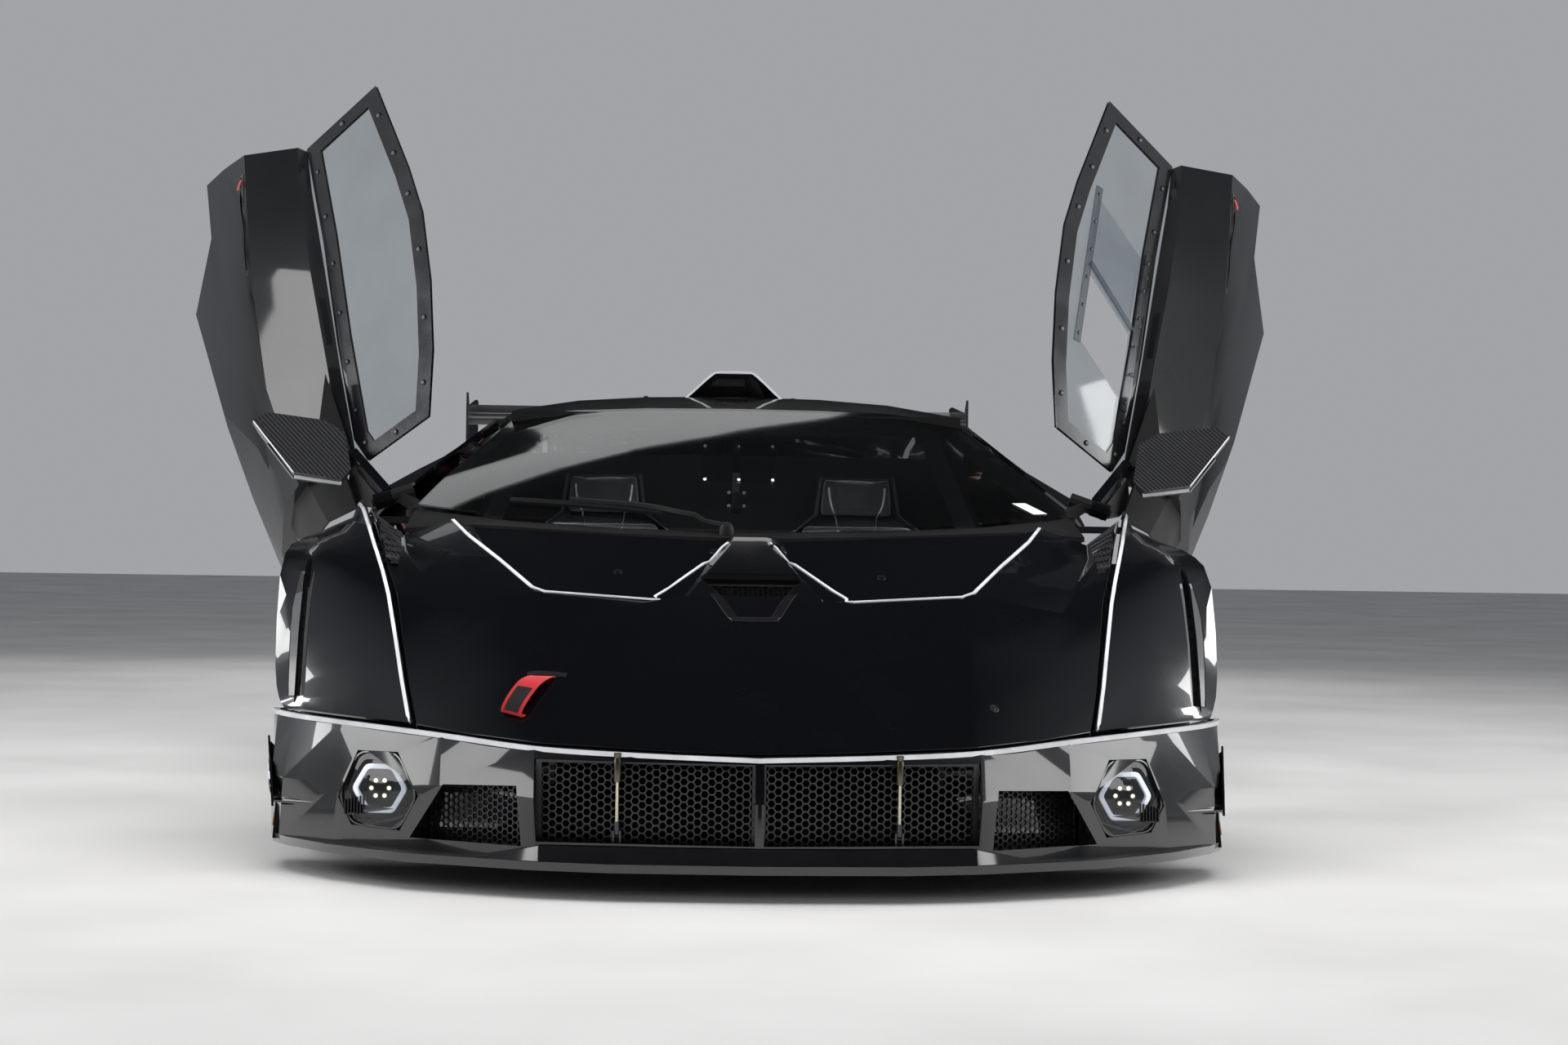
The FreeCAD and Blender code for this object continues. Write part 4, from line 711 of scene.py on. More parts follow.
# Head lamps: the unit looks straight ahead behind a cover that follows the bumper's skin
LAMP = rounded([(0.881, 0.172), (0.840, 0.272), (0.750, 0.274), (0.701, 0.188), (0.742, 0.112),
                (0.850, 0.116)], 0.022)
LAMP_Y = -2.07
LAMP_CENTER = Vector((0.790, LAMP_Y - 0.03, 0.194))
LAMP_INWARD = Vector((-0.55, 0.83, 0))
AHEAD = (0, -1, 0)
lamp_skin = skin_of("lamps")


def on_lamp(share, depth):
    """The lamp's outline, scaled by share and laid on the bumper's skin, then moved inward."""
    points, _ = laid(lamp_skin, [(p.x, -2.3, p.y) for p in scaled(LAMP, share)], (0, 1, 0))
    return [p + LAMP_INWARD * depth for p in points]


def flat_lamp(outline, y):
    """A 2-D outline in the plane of the lamp's unit."""
    return [Vector((p.x, y + (p.x - LAMP_CENTER.x) * 0.16, p.y)) for p in outline]


def hexagon(radius):
    corners = [(LAMP_CENTER.x + a, LAMP_CENTER.z + b) for a, b in oval(radius, radius, 6)]
    return rounded(corners, radius * 0.16, 3)


def hexagon_ring(radius, depth):
    return flat_lamp(hexagon(radius), LAMP_CENTER.y + depth)


def lamp_points(radius, count):
    """Points round the lamp's center, on the unit's face."""
    return [LAMP_CENTER + Vector((a, 0.014, b)) for a, b in oval(radius, radius, count)]


bezel = Form().rings([on_lamp(share, depth) for share, depth in (
    (0.985, 0.016), (1.0, 0.004), (0.99, -0.0012), (0.955, -0.0012), (0.93, 0.003), (0.92, 0.014))],
                    caps=False)
bezel.both("lamp_bezel", GLOSS, "lamp", smooth=50.0)
cover = Form().rings([on_lamp(share, 0.004 * share - 0.0005) for share in (0.95, 0.8, 0.6, 0.4, 0.2, 0.02)],
                     caps=False)
cover.both("lamp_cover", LENS, "lamp", smooth=60.0)
bowl = Form().rings([on_lamp(0.95, 0.008), on_lamp(0.91, 0.014), flat_lamp(scaled(LAMP, 0.88), LAMP_Y),
                     flat_lamp(scaled(LAMP, 0.02), LAMP_Y)], caps=False)
for k in range(7):
    x = 0.822 + 0.0065 * k
    bowl.block((x, LAMP_Y - 0.035, 0.14), (x + 0.0028, LAMP_Y, 0.18 - 0.002 * k))
bowl.block((0.735, LAMP_Y - 0.012, 0.126), (0.792, LAMP_Y, 0.137))
bowl.both("lamp_bowl", TRIM, "lamp", smooth=30.0)
RING_OUTER, RING_INNER = 0.060, 0.0475
ring = Form().rings([hexagon_ring(radius, depth) for radius, depth in (
    (RING_OUTER, 0.02), (RING_OUTER, 0.001), (0.058, -0.002), (0.0495, -0.002), (RING_INNER, 0.001),
    (RING_INNER, 0.02))], caps=False)
ring.both("lamp_ring", RING, "lamp", smooth=50.0)
unit = Form().rings([hexagon_ring(radius, depth) for radius, depth in (
    (0.07, 0.03), (0.07, 0.004), (RING_OUTER, 0.002))], caps=False)
unit.rings([hexagon_ring(RING_INNER, 0.016),
            flat_lamp(scaled(hexagon(RING_INNER), 0.02), LAMP_CENTER.y + 0.016)], caps=False)
dots = Form()
for point in lamp_points(0.0185, 6):
    unit.lathe([(0, 0.0072), (0.006, 0.0078), (0.009, 0.0076), (0.0092, 0.0062), (0.004, 0.005)],
               point, AHEAD, 18)
    dots.lathe([(0.003, 0.0048), (0.006, 0.004), (0.0075, 0.0018)], point, AHEAD, 14)
for point in lamp_points(0.0365, 6):
    unit.screw(point, AHEAD, 0.0028, 0.003)
unit.both("lamp_unit", MATTE, "lamp")
for obj in dots.both("lamp_leds", LED, "lamp"):
    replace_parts(obj, "lamps")

# Tail lamps: a smoked lens with two lit bars that meet in a fork
TAIL_LAMP = rounded([(0.470, 0.712), (0.860, 0.690), (0.880, 0.640), (0.800, 0.660), (0.640, 0.668),
                     (0.480, 0.690)], 0.006, 2)
TAIL_BARS = (((0.482, 0.703), (0.640, 0.694), (0.850, 0.682)),
             ((0.650, 0.674), (0.800, 0.668), (0.868, 0.650)))


def on_tail(points, depth):
    hits, _ = laid(lamp_skin, [(x, 2.25, z) for x, z in points], AHEAD)
    return [p + Vector(AHEAD) * depth for p in hits]


outline = on_tail(TAIL_LAMP, 0.0)
lens = Form().rings([on_tail(TAIL_LAMP, 0.012), outline], caps=False)
lens.add(outline, [list(range(len(outline)))])
lens.both("tail_lens", RED_LENS, "lamp", smooth=20.0)
bars = Form()
for strip in TAIL_BARS:
    route = between([(x, 0, z) for x, z in strip], 0.03)
    bars.sweep(on_tail([tuple(p.xz) for p in route], -0.001), bar(0.0015, -0.0028, 0.0028))
for obj in bars.both("tail_bars", RED, "lamp", smooth=40.0):
    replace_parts(obj, "lamps")

# Spine vent: a lip with fine mesh over the opening ahead of the screen. Rows are y and half-width.
SPINE = ((-1.742, 0.13), (-1.79, 0.114), (-1.885, 0.08), (-1.958, 0.054))
LIP_WIDE, LIP_THICK = 0.018, 0.006
spine = []
for y, w in SPINE:
    row, _ = laid(bonnet_skin, [(-w - 0.012, y, 0.7), (w + 0.012, y, 0.7)], DOWN)
    spine.append((y, w, (row[0].z + row[1].z) / 2 + 0.0035))
lip = Form()
for (y0, w0, z0), (y1, w1, z1) in zip(spine, spine[1:]):
    for s in (1, -1):
        lip.prism([(s * (w0 - LIP_WIDE), y0, z0), (s * (w0 + 0.004), y0, z0), (s * (w1 + 0.004), y1, z1),
                   (s * (w1 - LIP_WIDE), y1, z1)], DOWN * LIP_THICK)
(y0, w0, z0), (y1, w1, z1), (y2, w2, z2) = spine[0], spine[1], spine[-1]
lip.prism([(-w0, y0, z0), (w0, y0, z0), (w1, y1, z1), (-w1, y1, z1)], DOWN * LIP_THICK)
lip.prism([(-w2 - 0.003, y2, z2), (w2 + 0.003, y2, z2), (w2 - 0.004, y2 - 0.014, z2 - 0.004),
           (-w2 + 0.004, y2 - 0.014, z2 - 0.004)], DOWN * LIP_THICK)
lip.make("spine_vent_lip", GLOSS, "trim", bevel=0.0012)
slope = Vector((0, y1 - y2, z1 - z2))
sheet = comb(Form(), (-w1, y2, z2 - 0.004), (1, 0, 0), slope, 2 * w1, slope.length, 0.0075, 0.0014, 0.003)
CELL_POINTS, CELL_FACES = 24, 18
net = Form()
for first in range(0, len(sheet.verts), CELL_POINTS):
    cell = sheet.verts[first:first + CELL_POINTS]
    middle_y = sum(v[1] for v in cell) / CELL_POINTS
    room = w2 + (w1 - w2) * (middle_y - y2) / (y1 - y2) - 0.002
    if max(abs(v[0]) for v in cell) < room:
        face = first // CELL_POINTS * CELL_FACES
        net.add(cell, [[i - first for i in f] for f in sheet.faces[face:face + CELL_FACES]])
net.make("spine_vent_mesh", MESH, "trim", smooth=20.0)

# Louvres in the pocket beside each fender's crest
POCKET_FRONT_Y = -1.66
# Inner and outer edge of the pocket: x at its front, and the way out for each metre to the rear
POCKET_EDGES = ((0.772, 0.13), (0.808, 0.225))
LOUVRE_PITCH = 0.034
# Way along the car from a louvre's front edge, and its height above the bonnet
LOUVRE = ((0.0, 0.0012), (0.002, 0.0075), (0.014, 0.009), (0.026, 0.0022))


def flank(y, lift):
    """A row of five points across the pocket, lifted off the bonnet."""
    low, high = (x + (y - POCKET_FRONT_Y) * slope for x, slope in POCKET_EDGES)
    row = [(low + (high - low) * u / 4, y, 0.75) for u in range(5)]
    hits, normals = laid(bonnet_skin, row, (0.25, 0.2, -1))
    return [p + n * lift for p, n in zip(hits, normals)]


pocket = Form().rings([flank(-1.655 + 0.0275 * k, 0.0008) for k in range(11)], closed=False, caps=False)
slats = Form()
for k in range(7):
    y = -1.625 + LOUVRE_PITCH * k
    slats.rings([flank(y + dy, lift) for dy, lift in LOUVRE], closed=False, caps=False)
pocket.both("fender_pocket", MATTE, "trim")
slats.both("fender_louvres", CARBON_GLOSS, "carbon", smooth=25.0)

# Wiper: a foot in the cowl, a bent arm and a blade that lies along the foot of the screen
ONTO_SCREEN = (0, 0.25, -1)
screen_skin = skin_of("windscreen", "bonnet", "tub")
foot, elbow, tip = Vector((-0.05, -1.44, 0.76)), Vector((-0.24, -1.34, 0.80)), Vector((-0.562, -1.235, 0.83))
# Height of the arm's points above the screen, in millimetres
ARM_HEIGHTS = (20, 22, 24, 26, 27, 27, 26, 25, 24, 23, 22, 21, 20, 20, 20, 20)
bend = (foot + elbow) / 2 + Vector((0, -0.012, 0))
trail, ways = laid(screen_skin, curve_through([foot, bend, elbow, elbow.lerp(tip, 0.55)], 5), ONTO_SCREEN)
arm, blade, holder = Form(), Form(), Form()
raised = [p + n * h / 1000 for p, n, h in zip(trail, ways, ARM_HEIGHTS)]
arm.sweep(raised, bar(0.0075, -0.003, 0.004, 0.0055), ways)
arm.lathe([(-0.004, 0.019), (0.014, 0.017), (0.024, 0.013), (0.027, 0.007)],
          *spot_on(screen_skin, foot, ONTO_SCREEN), 20)
edge, ways = laid(screen_skin, between([elbow.lerp(tip, -0.12), tip], 0.025), ONTO_SCREEN)
blade.sweep([p + n * 0.004 for p, n in zip(edge, ways)], bar(0.0013, -0.0034, 0.004, 0.003), ways)
holder.sweep([p + n * 0.010 for p, n in zip(edge, ways)], bar(0.006, -0.002, 0.005, 0.003), ways)
for form, label, mat in ((arm, "arm", TRIM), (blade, "blade", TYRE), (holder, "holder", GLOSS)):
    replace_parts(form.make(f"wiper_{label}", mat, "trim"), "wiper")

# Fasteners of the bonnet, and reflectors on the fences
bolts = Form()
for x, y in ((0.499, -2.169), (0.30, -1.62), (0.66, -1.46), (0.08, -1.52)):
    for s in (1, -1):
        point, normal = spot_on(bonnet_skin, (s * x, y, 0.7), DOWN)
        bolts.lathe([(-0.001, 0.0105), (0.0012, 0.0105), (0.002, 0.0095), (0.002, 0.0078), (0.0012, 0.0074)],
                    point, normal, 20)
        bolts.screw(point, normal, 0.0062, 0.0016)
bolts.make("bonnet_fasteners", STEEL, "trim")
FENCE_X = 1.0382
reflector = Form().prism([(FENCE_X, y, z) for y, z in ((-1.888, 0.092), (-1.855, 0.092), (-1.855, 0.118),
                                                       (-1.866, 0.118))], (0.0022, 0, 0))
reflector.both("side_reflector", AMBER, "lamp", bevel=0.0005)

# Tow strap: one loop of webbing that leaves a slot in the bonnet and folds back into it.
# Each row is the middle of the loop and the direction across it.
STRAP = (
    ((-0.444, -2.117, 0.430), (1.0, -0.15, 0.0)),
    ((-0.452, -2.130, 0.436), (1.0, -0.18, -0.02)),
    ((-0.476, -2.160, 0.424), (0.95, -0.35, -0.1)),
    ((-0.500, -2.188, 0.392), (0.9, -0.45, -0.16)),
    ((-0.512, -2.197, 0.366), (0.88, -0.5, -0.18)),
    ((-0.508, -2.192, 0.360), (0.88, -0.5, -0.18)),
    ((-0.488, -2.178, 0.370), (0.9, -0.45, -0.12)),
    ((-0.458, -2.158, 0.392), (0.95, -0.35, 0.0)),
    ((-0.440, -2.135, 0.418), (1.0, -0.2, 0.02)),
    ((-0.434, -2.117, 0.428), (1.0, -0.15, 0.0)),
)
STRAP_WIDTH = 0.05
STRAP_HALF_THICK = 0.0009
PATCH_HALF = 0.017
middle = curve_through([s[0] for s in STRAP], 6)
across = [v.normalized() for v in curve_through([s[1] for s in STRAP], 6)]


def strap_ring(i, half, low, high, outward=None):
    """Section of the strap at one of its points. With outward, its height points that way."""
    p, a = middle[i], across[i]
    way = (middle[min(i + 1, len(middle) - 1)] - middle[max(i - 1, 0)]).normalized()
    n = a.cross(way).normalized()
    if outward and n.dot(Vector(outward)) < 0:
        n = -n
    return [p + a * s + n * t for s, t in bar(half, low, high)]


strap = Form().rings([strap_ring(i, STRAP_WIDTH / 2, -STRAP_HALF_THICK, STRAP_HALF_THICK)
                      for i in range(len(middle))]).make("tow_strap", WEBBING, "trim", smooth=50.0)
patch = Form().rings([strap_ring(i, PATCH_HALF, 0.001, 0.0019, AHEAD) for i in range(14, 25)])
patch = patch.make("strap_patch", BLACK_CLOTH, "trim", smooth=50.0)
# The slot is a thin dark strip laid on the bonnet, not an opening: painted shade of the slit
slot_line = between([(-0.484, -2.108, 0.6), (-0.400, -2.123, 0.6)], 0.01)
spots, normals = laid(bonnet_skin, slot_line, DOWN, 0.0004)
ribbon(Form(), spots, normals, 0.013, 0.0006).make("strap_slot", MATTE, "trim")
# Silver strip along the slot's upper edge: a painted highlight of that edge
slot_highlight_line = [p + Vector((0, 0.008, 0.003)) for p in spots]
ribbon(Form(), slot_highlight_line, normals, 0.003, 0.0016).make("strap_slot_highlight", SILVER, "trim")


# Doors: window borders, pulls, linings, flanges and mirrors, all drawn as if shut
PANE_OUT = Vector((0.797, -0.076, 0.599)).normalized()
# The glass's outer face: its x at y = z = 0, and the change of x for each metre of y and of z
PANE_X, PANE_BY_Y, PANE_BY_Z = 1.4936, 0.0954, -0.7516
# Outline of the window's glass, as y and z
GLASS = [(0.037, 1.057), (-0.236, 1.058), (-0.374, 1.050), (-0.559, 1.009), (-0.733, 0.955), (-0.887, 0.890),
         (-0.885, 0.716), (-0.810, 0.702), (-0.535, 0.746), (-0.259, 0.799), (0.018, 0.842)]
BORDER_WIDE = 0.036
SCREW_PITCH = 0.155
# Ledge below the glass, as pairs of inner and outer points
LEDGE = [mm(pair) for pair in (
    ((896, -892, 704), (932, -892, 700)), ((889, -610, 736), (922, -610, 740)),
    ((880, -341, 786), (920, -341, 796)), ((871, -100, 818), (905, -100, 828)),
    ((862, 12, 838), (889, 19, 850)))]
INWARD = Vector((-1, 0, 0))
DOOR = {"body": "door_{}", "place": PARKED}
door_skin = tree_of([nodes["door_left"].data], PARKED.inverted())


def on_pane(y, z, lift=0.0):
    """Point on the window's outer face."""
    return Vector((PANE_X + PANE_BY_Y * y + PANE_BY_Z * z, y, z)) + PANE_OUT * lift


def border(low, high):
    """Flat band along the edge of the glass, between two distances from its outer face."""
    inner = inset(GLASS, BORDER_WIDE)
    rings = [(GLASS, low), (GLASS, high), (inner, high), (inner, low), (GLASS, low)]
    return [[on_pane(*p, lift) for p in outline] for outline, lift in rings]


band = Form().rings(border(0.0002, 0.0014), caps=False).rings(border(-0.0066, -0.0052), caps=False)
for (a, b), (d, c) in zip(LEDGE, LEDGE[1:]):
    band.prism([p + UP * 0.0012 for p in (a, b, c, d)], DOWN * 0.003)
band.both("window_border", GLOSS, "trim", smooth=20.0, **DOOR)
screws = Form()
loop = [on_pane(*p, 0.0014) for p in inset(GLASS, BORDER_WIDE / 2)]
for a, b in zip(loop, loop[1:] + loop[:1]):
    count = max(1, round((b - a).length / SCREW_PITCH))
    for k in range(count):
        point = a.lerp(b, (k + 0.5) / count)
        screws.screw(point, PANE_OUT, 0.0075, 0.0042)
        screws.screw(point - PANE_OUT * 0.008, -PANE_OUT, 0.0075, 0.0042)
screws.both("window_screws", STEEL, "trim", **DOOR)

# Recessed pull with a red tab, and the wedge at the mirror's foot
TAB_TOP, TAB_LOW = Vector((1.027, 0.012, 0.737)), Vector((1.034, -0.026, 0.708))
TAB_HALF = Vector((0.001, 0.0045, -0.0058))
TAB_THICK = Vector((0.0014, 0, 0))
STEPS = 12
tab = []
for k in range(STEPS + 1):
    t = k / STEPS
    swing = Vector((0.007 * math.sin(math.pi * t), 0, 0.006 * (t - 0.5)))
    middle = TAB_TOP.lerp(TAB_LOW, min(t, 1 - t)) + swing
    left, right = middle - TAB_HALF, middle + TAB_HALF
    tab.append([left, right, right + TAB_THICK, left + TAB_THICK])
pulls = Form().rings(tab).both("door_pull", WEBBING, "trim", smooth=60.0, **DOOR)
lining = Form()
lining.prism(mm([(1003, 20, 746), (1003, 24, 730), (1003, -196, 617), (1003, -200, 634)]), (0.001, 0, 0))
lining.prism(mm([(905, -860, 705), (1000, -872, 672), (932, -640, 742)]), (0.004, -0.001, 0.020))
lining.both("door_recess", MATTE, "trim", bevel=0.001, **DOOR)
recess = mm([(1150, 17, 755), (1150, 31, 727), (1150, -201, 609), (1150, -208, 642)])
trail, ways = laid(door_skin, between(recess + recess[:1], 0.03)[:-1], INWARD)
recess_rim = Form().sweep(trail, bar(0.0016, -0.001, 0.0012), ways, loop=True)
recess_rim.both("door_recess_rim", STEEL, "trim", smooth=40.0, **DOOR)

# Trim panel on the inner side, as y and z, and its screws
PANEL = [(-0.86, 0.60), (-0.60, 0.66), (-0.30, 0.72), (-0.06, 0.76), (0.10, 0.60), (0.16, 0.44), (0.05, 0.20),
         (-0.30, 0.16), (-0.80, 0.18), (-0.87, 0.38)]
shape = inset(PANEL, 0.03)
rows = []
for share, lift in ((1.0, 0.001), (0.985, 0.004), (0.5, 0.004), (0.02, 0.004)):
    hits, _ = laid(door_skin, [(0.7, p.x, p.y) for p in scaled(shape, share)], (1, 0, 0))
    rows.append([h + INWARD * lift for h in hits])
Form().rings(rows, caps=False).both("door_lining", CARBON, "carbon", smooth=40.0, **DOOR)
panel_middle = sum(rows[-1], Vector()) / len(rows[-1])
screws = Form()
for point in rows[1]:
    screws.screw(point + (panel_middle - point).normalized() * 0.02 + INWARD * 0.002, INWARD, 0.006, 0.003)
screws.both("door_lining_screws", STEEL, "trim", **DOOR)

# Front flange of the door, tucked under the fender when shut
outer = [mm([(934, -884, 694), (1018, -884, 640), (1046, -884, 560), (1042, -884, 450)]),
         mm([(920, -1004, 688), (988, -1006, 640), (1012, -1000, 560), (1012, -968, 450)])]
flange = Form().rings([row + [p - Vector((0.006, 0, 0.002)) for p in row[::-1]] for row in outer])
flange.prism(mm([(905, -884, 700), (880, -1062, 800), (880, -1072, 776), (905, -1000, 690),
                 (905, -884, 560)]), (0.006, 0, 0))
flange.both("door_flange", TRIM, "paint", smooth=60.0, bevel=0.0012, **DOOR)

# Mirror: dark lip, silver stripe to the front, glass to the rear
LIP_LINE = mm([(962, -1008, 858), (985, -1034, 856), (1095, -1000, 856), (1140, -900, 862)])
FRONT_LINE = mm([(985, -1035, 853), (1094, -1001, 853)])
SIDE_LINE = mm([(1098, -1001, 871), (1166, -841, 871)])
lip = Form().sweep(between(LIP_LINE, 0.015), oblong(-0.006, -0.014, 0.0012, -0.0055))
lip.both("mirror_lip", GLOSS, "trim", smooth=40.0, **DOOR)
stripe = Form()
stripe.sweep(between(FRONT_LINE, 0.02), oblong(-0.004, -0.0015, 0.0035, 0.0075))
stripe.sweep(between(SIDE_LINE, 0.02), oblong(-0.002, -0.0006, 0.0006, 0.0006))
stripe.both("mirror_stripe", SILVER, "trim", smooth=40.0, **DOOR)
face = Form().prism(mm([(1118, -821, 853), (1104, -827, 804), (1004, -857, 804), (998, -853, 853)]),
                    (0.0006, 0.002, 0))
face.both("mirror_face", REFLECTOR, "trim", bevel=0.0005, **DOOR)

# Slider in the driver's pane: two rails, a slanted bar and the pane pushed back
DRIVER_DOOR = {"body": "door_left", "place": PARKED}
rails, screws = Form(), Form()
for ends in (((-0.208, 1.003), (-0.640, 0.919)), ((-0.272, 0.820), (-0.715, 0.744))):
    a, b = (on_pane(y, z, 0.003) for y, z in ends)
    rails.sweep([a, b], bar(0.011, -0.002, 0.003), PANE_OUT)
    for k in range(6):
        screws.screw(a.lerp(b, 0.05 + 0.18 * k) + PANE_OUT * 0.003, PANE_OUT, 0.0048, 0.003)
slanted = [on_pane(-0.418, 0.957, 0.004), on_pane(-0.497, 0.793, 0.004)]
rails.sweep(slanted, bar(0.006, -0.003, 0.004), PANE_OUT)
rails.make("slider_rails", FROST, "clear", smooth=30.0, **DRIVER_DOOR)
screws.make("slider_screws", STEEL, "trim", **DRIVER_DOOR)
slide = Form().prism([on_pane(y, z, -0.008) for y, z in ((-0.225, 0.990), (-0.418, 0.955), (-0.497, 0.795),
                                                         (-0.285, 0.830))], -PANE_OUT * 0.002)
slide.make("slider_pane", PANE, "clear", smooth=20.0, **DRIVER_DOOR)


# Seats: three swollen cushions on a shell, all drawn for the driver's side
SEAT_X = 0.36
FLOOR_Z = 0.1185
# y, top of the pad, half-width, rise of its side bolsters
SQUAB = ((-0.548, 0.252, 0.196, 0.052), (-0.46, 0.244, 0.206, 0.07), (-0.34, 0.234, 0.214, 0.084),
         (-0.24, 0.232, 0.217, 0.086), (-0.205, 0.233, 0.218, 0.03), (-0.13, 0.235, 0.22, 0.006))
SQUAB_SHELL = ((-0.557, 0.245, 0.197, 0.05), (-0.34, 0.23, 0.213, 0.084), (-0.21, 0.232, 0.22, 0.1),
               (-0.09, 0.238, 0.225, 0.105))
# z, y of the pad's front, half-width, depth of its side bolsters
BACK = ((0.262, -0.092, 0.218, 0.07), (0.4, -0.038, 0.224, 0.088), (0.52, 0.01, 0.228, 0.1),
        (0.63, 0.05, 0.217, 0.078), (0.71, 0.084, 0.204, 0.05), (0.765, 0.106, 0.15, 0.012))
HEAD = ((0.79, 0.116, 0.1, 0.006), (0.845, 0.132, 0.093, 0.014), (0.89, 0.146, 0.09, 0.018))
BACK_SHELL = ((0.232, -0.112, 0.218, 0.075), (0.4, -0.046, 0.224, 0.092), (0.52, 0.0, 0.229, 0.105),
              (0.63, 0.043, 0.219, 0.08), (0.72, 0.08, 0.206, 0.055), (0.79, 0.106, 0.115, 0.012),
              (0.898, 0.139, 0.099, 0.02))
SHELL_WALL = 0.009
SEAM = 0.006
SWELL_STEPS = 20


def squab_ring(y, top, half, rise):
    low, high = FLOOR_Z + 0.022, top + rise
    return [(SEAT_X + x, y, z) for x, z in (
        (-half, low), (half, low), (half, high), (half - 0.034, high), (half - 0.076, top),
        (-half + 0.076, top), (-half + 0.034, high), (-half, high))]


def back_ring(z, y, half, depth, thick=0.064):
    front, rear = y - depth, y + thick
    return [(SEAT_X + x, d, z) for x, d in (
        (-half, rear), (half, rear), (half, front), (half - 0.022, front), (half - 0.05, y),
        (-half + 0.05, y), (-half + 0.022, front), (-half, front))]


def trough(half, base, rim):
    """U-shaped section of the shell, from its base to its rim."""
    inner = half - SHELL_WALL
    bed = base + math.copysign(SHELL_WALL, rim - base)
    return [(-half, rim), (-half, base), (half, base), (half, rim), (inner, rim), (inner, bed), (-inner, bed),
            (-inner, rim)]


def baked(obj):
    """The mesh that the object's modifiers make, in place of its own."""
    obj_now = obj.evaluated_get(bpy.context.evaluated_depsgraph_get())
    obj.data = bpy.data.meshes.new_from_object(obj_now)
    obj.modifiers.clear()
    return obj.data


def swell(obj, cap):
    """Swells a closed mesh by cloth pressure, and holds each point within cap of its start."""
    cloth = obj.modifiers.new("stuffing", "CLOTH")
    cloth.settings.use_pressure = True
    cloth.settings.uniform_pressure_force = 4.0
    cloth.settings.effector_weights.gravity = 0.0
    cloth.settings.quality = 4
    for step in range(1, SWELL_STEPS + 1):
        scene.frame_set(step)
    swollen = obj.evaluated_get(bpy.context.evaluated_depsgraph_get()).to_mesh()
    moved = [v.co.copy() for v in swollen.vertices]
    obj.modifiers.clear()
    scene.frame_set(1)
    for v, goal in zip(obj.data.vertices, moved):
        away = goal - v.co
        v.co += away * min(1.0, cap / max(away.length, 1e-6))


def stuffed(name, rings, cap, channels, voxel=0.011):
    """Swollen cushion with sewn channels pressed in.

    A channel is (axis, place, depth, reach). It runs across that axis and ends at |x - SEAT_X| = reach.
    With axis 0 there are two, where |x - SEAT_X| = place."""
    obj = Form().rings(rings).make(name, PERFORATED, "seat", smooth=180.0)
    remesh = obj.modifiers.new("even_quads", "REMESH")
    remesh.mode = "VOXEL"
    remesh.voxel_size = voxel
    remesh.use_smooth_shade = True
    baked(obj)
    swell(obj, cap)
    finer = obj.modifiers.new("finer", "SUBSURF")
    finer.levels = finer.render_levels = 1
    mesh = baked(obj)
    normals = [v.normal.copy() for v in mesh.vertices]
    for v, n in zip(mesh.vertices, normals):
        for axis, place, depth, reach in channels:
            side = abs(v.co.x - SEAT_X)
            if side < reach:
                away = (side if axis == 0 else v.co[axis]) - place
                v.co -= n * depth * math.exp(-((away / SEAM) ** 2))
    mesh.polygons.foreach_set("use_smooth", [True] * len(mesh.polygons))
    mesh.materials.clear()
    mesh.materials.append(PERFORATED)
    return obj


def twin(obj):
    """Mirrored copy of a finished cushion, for the other seat."""
    verts = [v.co.copy() for v in obj.data.vertices]
    faces = [list(p.vertices) for p in obj.data.polygons]
    copy = piece(obj.name + "_right", verts, faces, PERFORATED, "chassis", "seat", place=MIRROR, smooth=180.0)
    return copy


cushions = [
    stuffed("seat_squab", [squab_ring(*row) for row in SQUAB], 0.009,
            [(0, 0.128, 0.006, 0.3), (1, -0.42, 0.005, 0.125), (1, -0.31, 0.005, 0.125)]),
    stuffed("seat_back", [back_ring(*row) for row in BACK], 0.009,
            [(0, 0.16, 0.006, 0.3)] + [(2, z, 0.006, 0.155) for z in (0.36, 0.46, 0.56, 0.66)]),
    stuffed("seat_head", [back_ring(*row, thick=0.05) for row in HEAD], 0.007, [], 0.008),
]
shell = Form()
shell.rings([[(SEAT_X + x, y, z) for x, z in trough(half + 0.008, FLOOR_Z + 0.001, top + rise + 0.012)]
             for y, top, half, rise in SQUAB_SHELL])
shell.rings([[(SEAT_X + x, y, z) for x, y in trough(half + 0.008, middle + 0.088, middle - depth - 0.004)]
             for z, middle, half, depth in BACK_SHELL])
for x in (-0.11, 0.11):
    shell.block((SEAT_X + x - 0.03, -0.5, FLOOR_Z), (SEAT_X + x + 0.03, -0.14, FLOOR_Z + 0.003))

# Pale piping along the side bolsters and in a U round the headrest, lying on the pads
HALF_U = ((0.045, 0.778), (0.066, 0.8), (0.076, 0.832), (0.08, 0.868))
pads = tree_of([cushion.data for cushion in cushions])
lines = [[(SEAT_X + sign * (half - 0.008), y - depth - 0.02, z) for z, y, half, depth in BACK[:-1]]
         for sign in (1, -1)]
headrest = [(-x, z) for x, z in HALF_U[::-1]] + [(0.0, 0.77)] + list(HALF_U)
lines.append([(SEAT_X + x, 0.02, z) for x, z in headrest])
piping = Form()
for line in lines:
    spots, normals = laid(pads, curve_through(line, 5), (0, 1, 0), 0.0006)
    piping.sweep(spots, oval(0.0028, 0.0022, 6), normals)
seat_pieces = shell.both("seat_shell", CARBON, "seat", bevel=0.003)
seat_pieces += piping.both("seat_piping", PIPING, "seat", smooth=60.0)
for cushion in cushions:
    seat_pieces += [cushion, twin(cushion)]
for obj in seat_pieces:
    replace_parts(obj, "seats")

